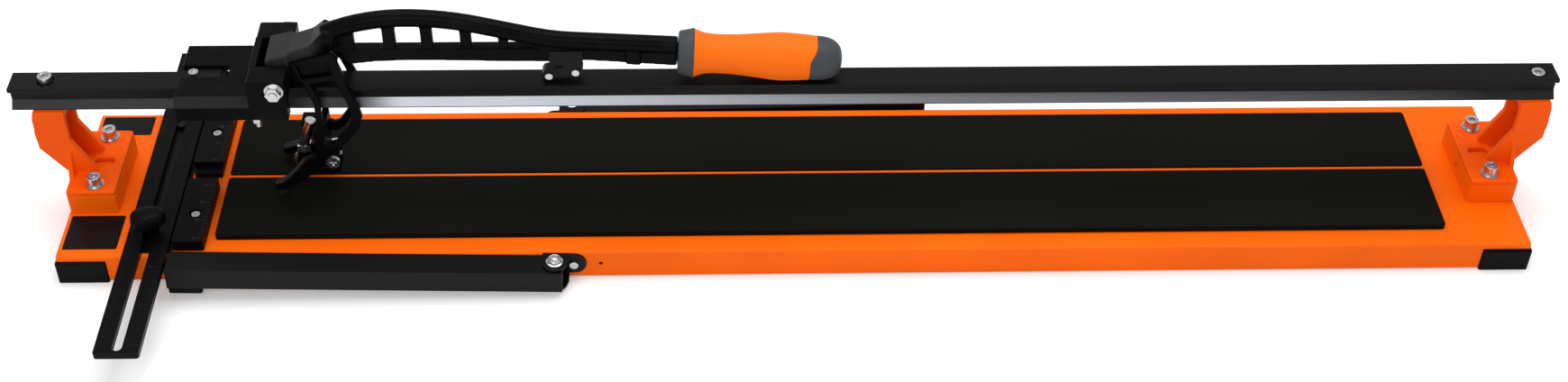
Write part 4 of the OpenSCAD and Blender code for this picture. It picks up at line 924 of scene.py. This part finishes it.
# %% Label plates
LABEL_T = 0.0002
LET_IN = 0.00005
tray_low, tray_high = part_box("base_tray")
block_low, block_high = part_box("left_block")
stop_low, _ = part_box("front_stop_plate")
left, right = tray_low.x + 0.0035, fence_low.x - 0.009
LABELS = {
    "front_label_plate": ((left, tray_low.y + 0.010), (right, block_low.y - 0.004)),
    "rear_label_plate": ((left, block_high.y + 0.024), (right, tray_high.y - 0.005)),
    # Real strip under the slot, and painted shade in the gap up to the stop plate.
    "slide_strip": ((fence_low.x + 0.012, tray_low.y + 0.004), (stop_low.x - 0.0002, tray_high.y - 0.004)),
}
for name, (a, b) in LABELS.items():
    low, high = Vector((*a, tray_high.z - LET_IN)), Vector((*b, tray_high.z + LABEL_T))
    plate = sheet_pad(name, low, high, radius=0.0015, edge=0.0001)
    made = piece(name, plate, "base", label_vinyl)
    print(made.name, round(b[0] - a[0], 4), round(b[1] - a[1], 4))


# %% [markdown]
# ## Shade in the hole
# A black disc set just behind the small hole in the tray's front face is painted shade: it makes the hole read
# dark.

# %% Shade in the hole
HOLE_X, HOLE_Z = -0.1807, 0.0167
WALL = 0.0022
hole_shade_base = Vector((HOLE_X, tray_low.y + WALL, HOLE_Z))
hole_shade_profile = [(0.0, 0.3), (0.0, 3.0), (0.8, 3.3), (1.6, 3.0), (1.6, 0.3)]
hole_shade_mesh = lathe("tray_hole_shade", hole_shade_base, Vector((0.0, 1.0, 0.0)), hole_shade_profile, 32)
# Painted shade: a dark disc behind the hole makes it read dark.
plug = piece("tray_hole_shade", hole_shade_mesh, "base", black_plastic)
print(plug.name, round(hole_shade_base.x, 4))


# %% [markdown]
# ## Floor and room
# The cutter stands on a white sweep. A white floor alone would need so much light that the
# colours wash out, so the floor glows a little, for the camera and for reflections only. It then
# looks white and still keeps the contact shadow.

# %% Floor and room
FLOOR_GLOW = 0.24
ROOM_LIGHT = 0.58


def white_for_views(finish, strength):
    path = "ShaderNodeLightPath"
    seen = finish.node(path, output="Is Camera Ray") + finish.node(path, output="Is Glossy Ray")
    seen = seen + finish.node(path, output="Is Transmission Ray")
    glow = finish.mix(seen.sum("MINIMUM", seen, 1.0), (0.0, 0.0, 0.0), (1.0, 1.0, 1.0))
    finish.set(Emission_Color=glow, Emission_Strength=strength)


floor_finish = Finish("white_floor", Base_Color=(0.83, 0.83, 0.83), Roughness=0.9, Specular_IOR_Level=0.1)
white_for_views(floor_finish, FLOOR_GLOW)
bm = bmesh.new()
bmesh.ops.create_grid(bm, x_segments=1, y_segments=1, size=9.0)
bmesh.ops.translate(bm, vec=(0.0, 2.0, 0.0), verts=bm.verts)
floor = placed(bpy.data.objects.new("floor", from_bmesh("floor", bm)))
floor.data.materials.append(floor_finish.material)

world = bpy.data.worlds.new("white_room")
bpy.context.scene.world = world
world.use_nodes = True
sky = next(n for n in world.node_tree.nodes if n.type == "BACKGROUND")
sky.inputs["Color"].default_value = (1.0, 1.0, 1.0, 1.0)
sky.inputs["Strength"].default_value = ROOM_LIGHT
print("floor and room", floor.name, world.name)


# %% [markdown]
# ## Lamps
# Product light is large and soft: a wide box overhead, a weaker one in front that opens the
# shadows, and a small one behind the left end that draws a thin line on the dark castings.
# Together they leave colours about as they are written.

# %% Lamps
def soft_box(name, place, aim, size, power):
    data = bpy.data.lights.new(name, "AREA")
    data.shape, data.size, data.size_y = "RECTANGLE", *size
    data.energy = power
    lamp = placed(bpy.data.objects.new(name, data))
    lamp.location = place
    lamp.rotation_euler = (Vector(aim) - lamp.location).to_track_quat("-Z", "Y").to_euler()
    print(name, power, "W")


soft_box("overhead", place=(0.1, 0.35, 2.1), aim=(0.0, 0.0, 0.0), size=(2.6, 1.4), power=34.0)
soft_box("front_fill", place=(-0.7, -2.0, 1.6), aim=(0.0, 0.0, 0.1), size=(1.6, 1.0), power=16.0)
soft_box("rim_left", place=(-2.0, 1.9, 1.0), aim=(-0.4, 0.0, 0.2), size=(1.0, 0.5), power=3.0)


# %% [markdown]
# The dressed model has to stay inside the measured one.
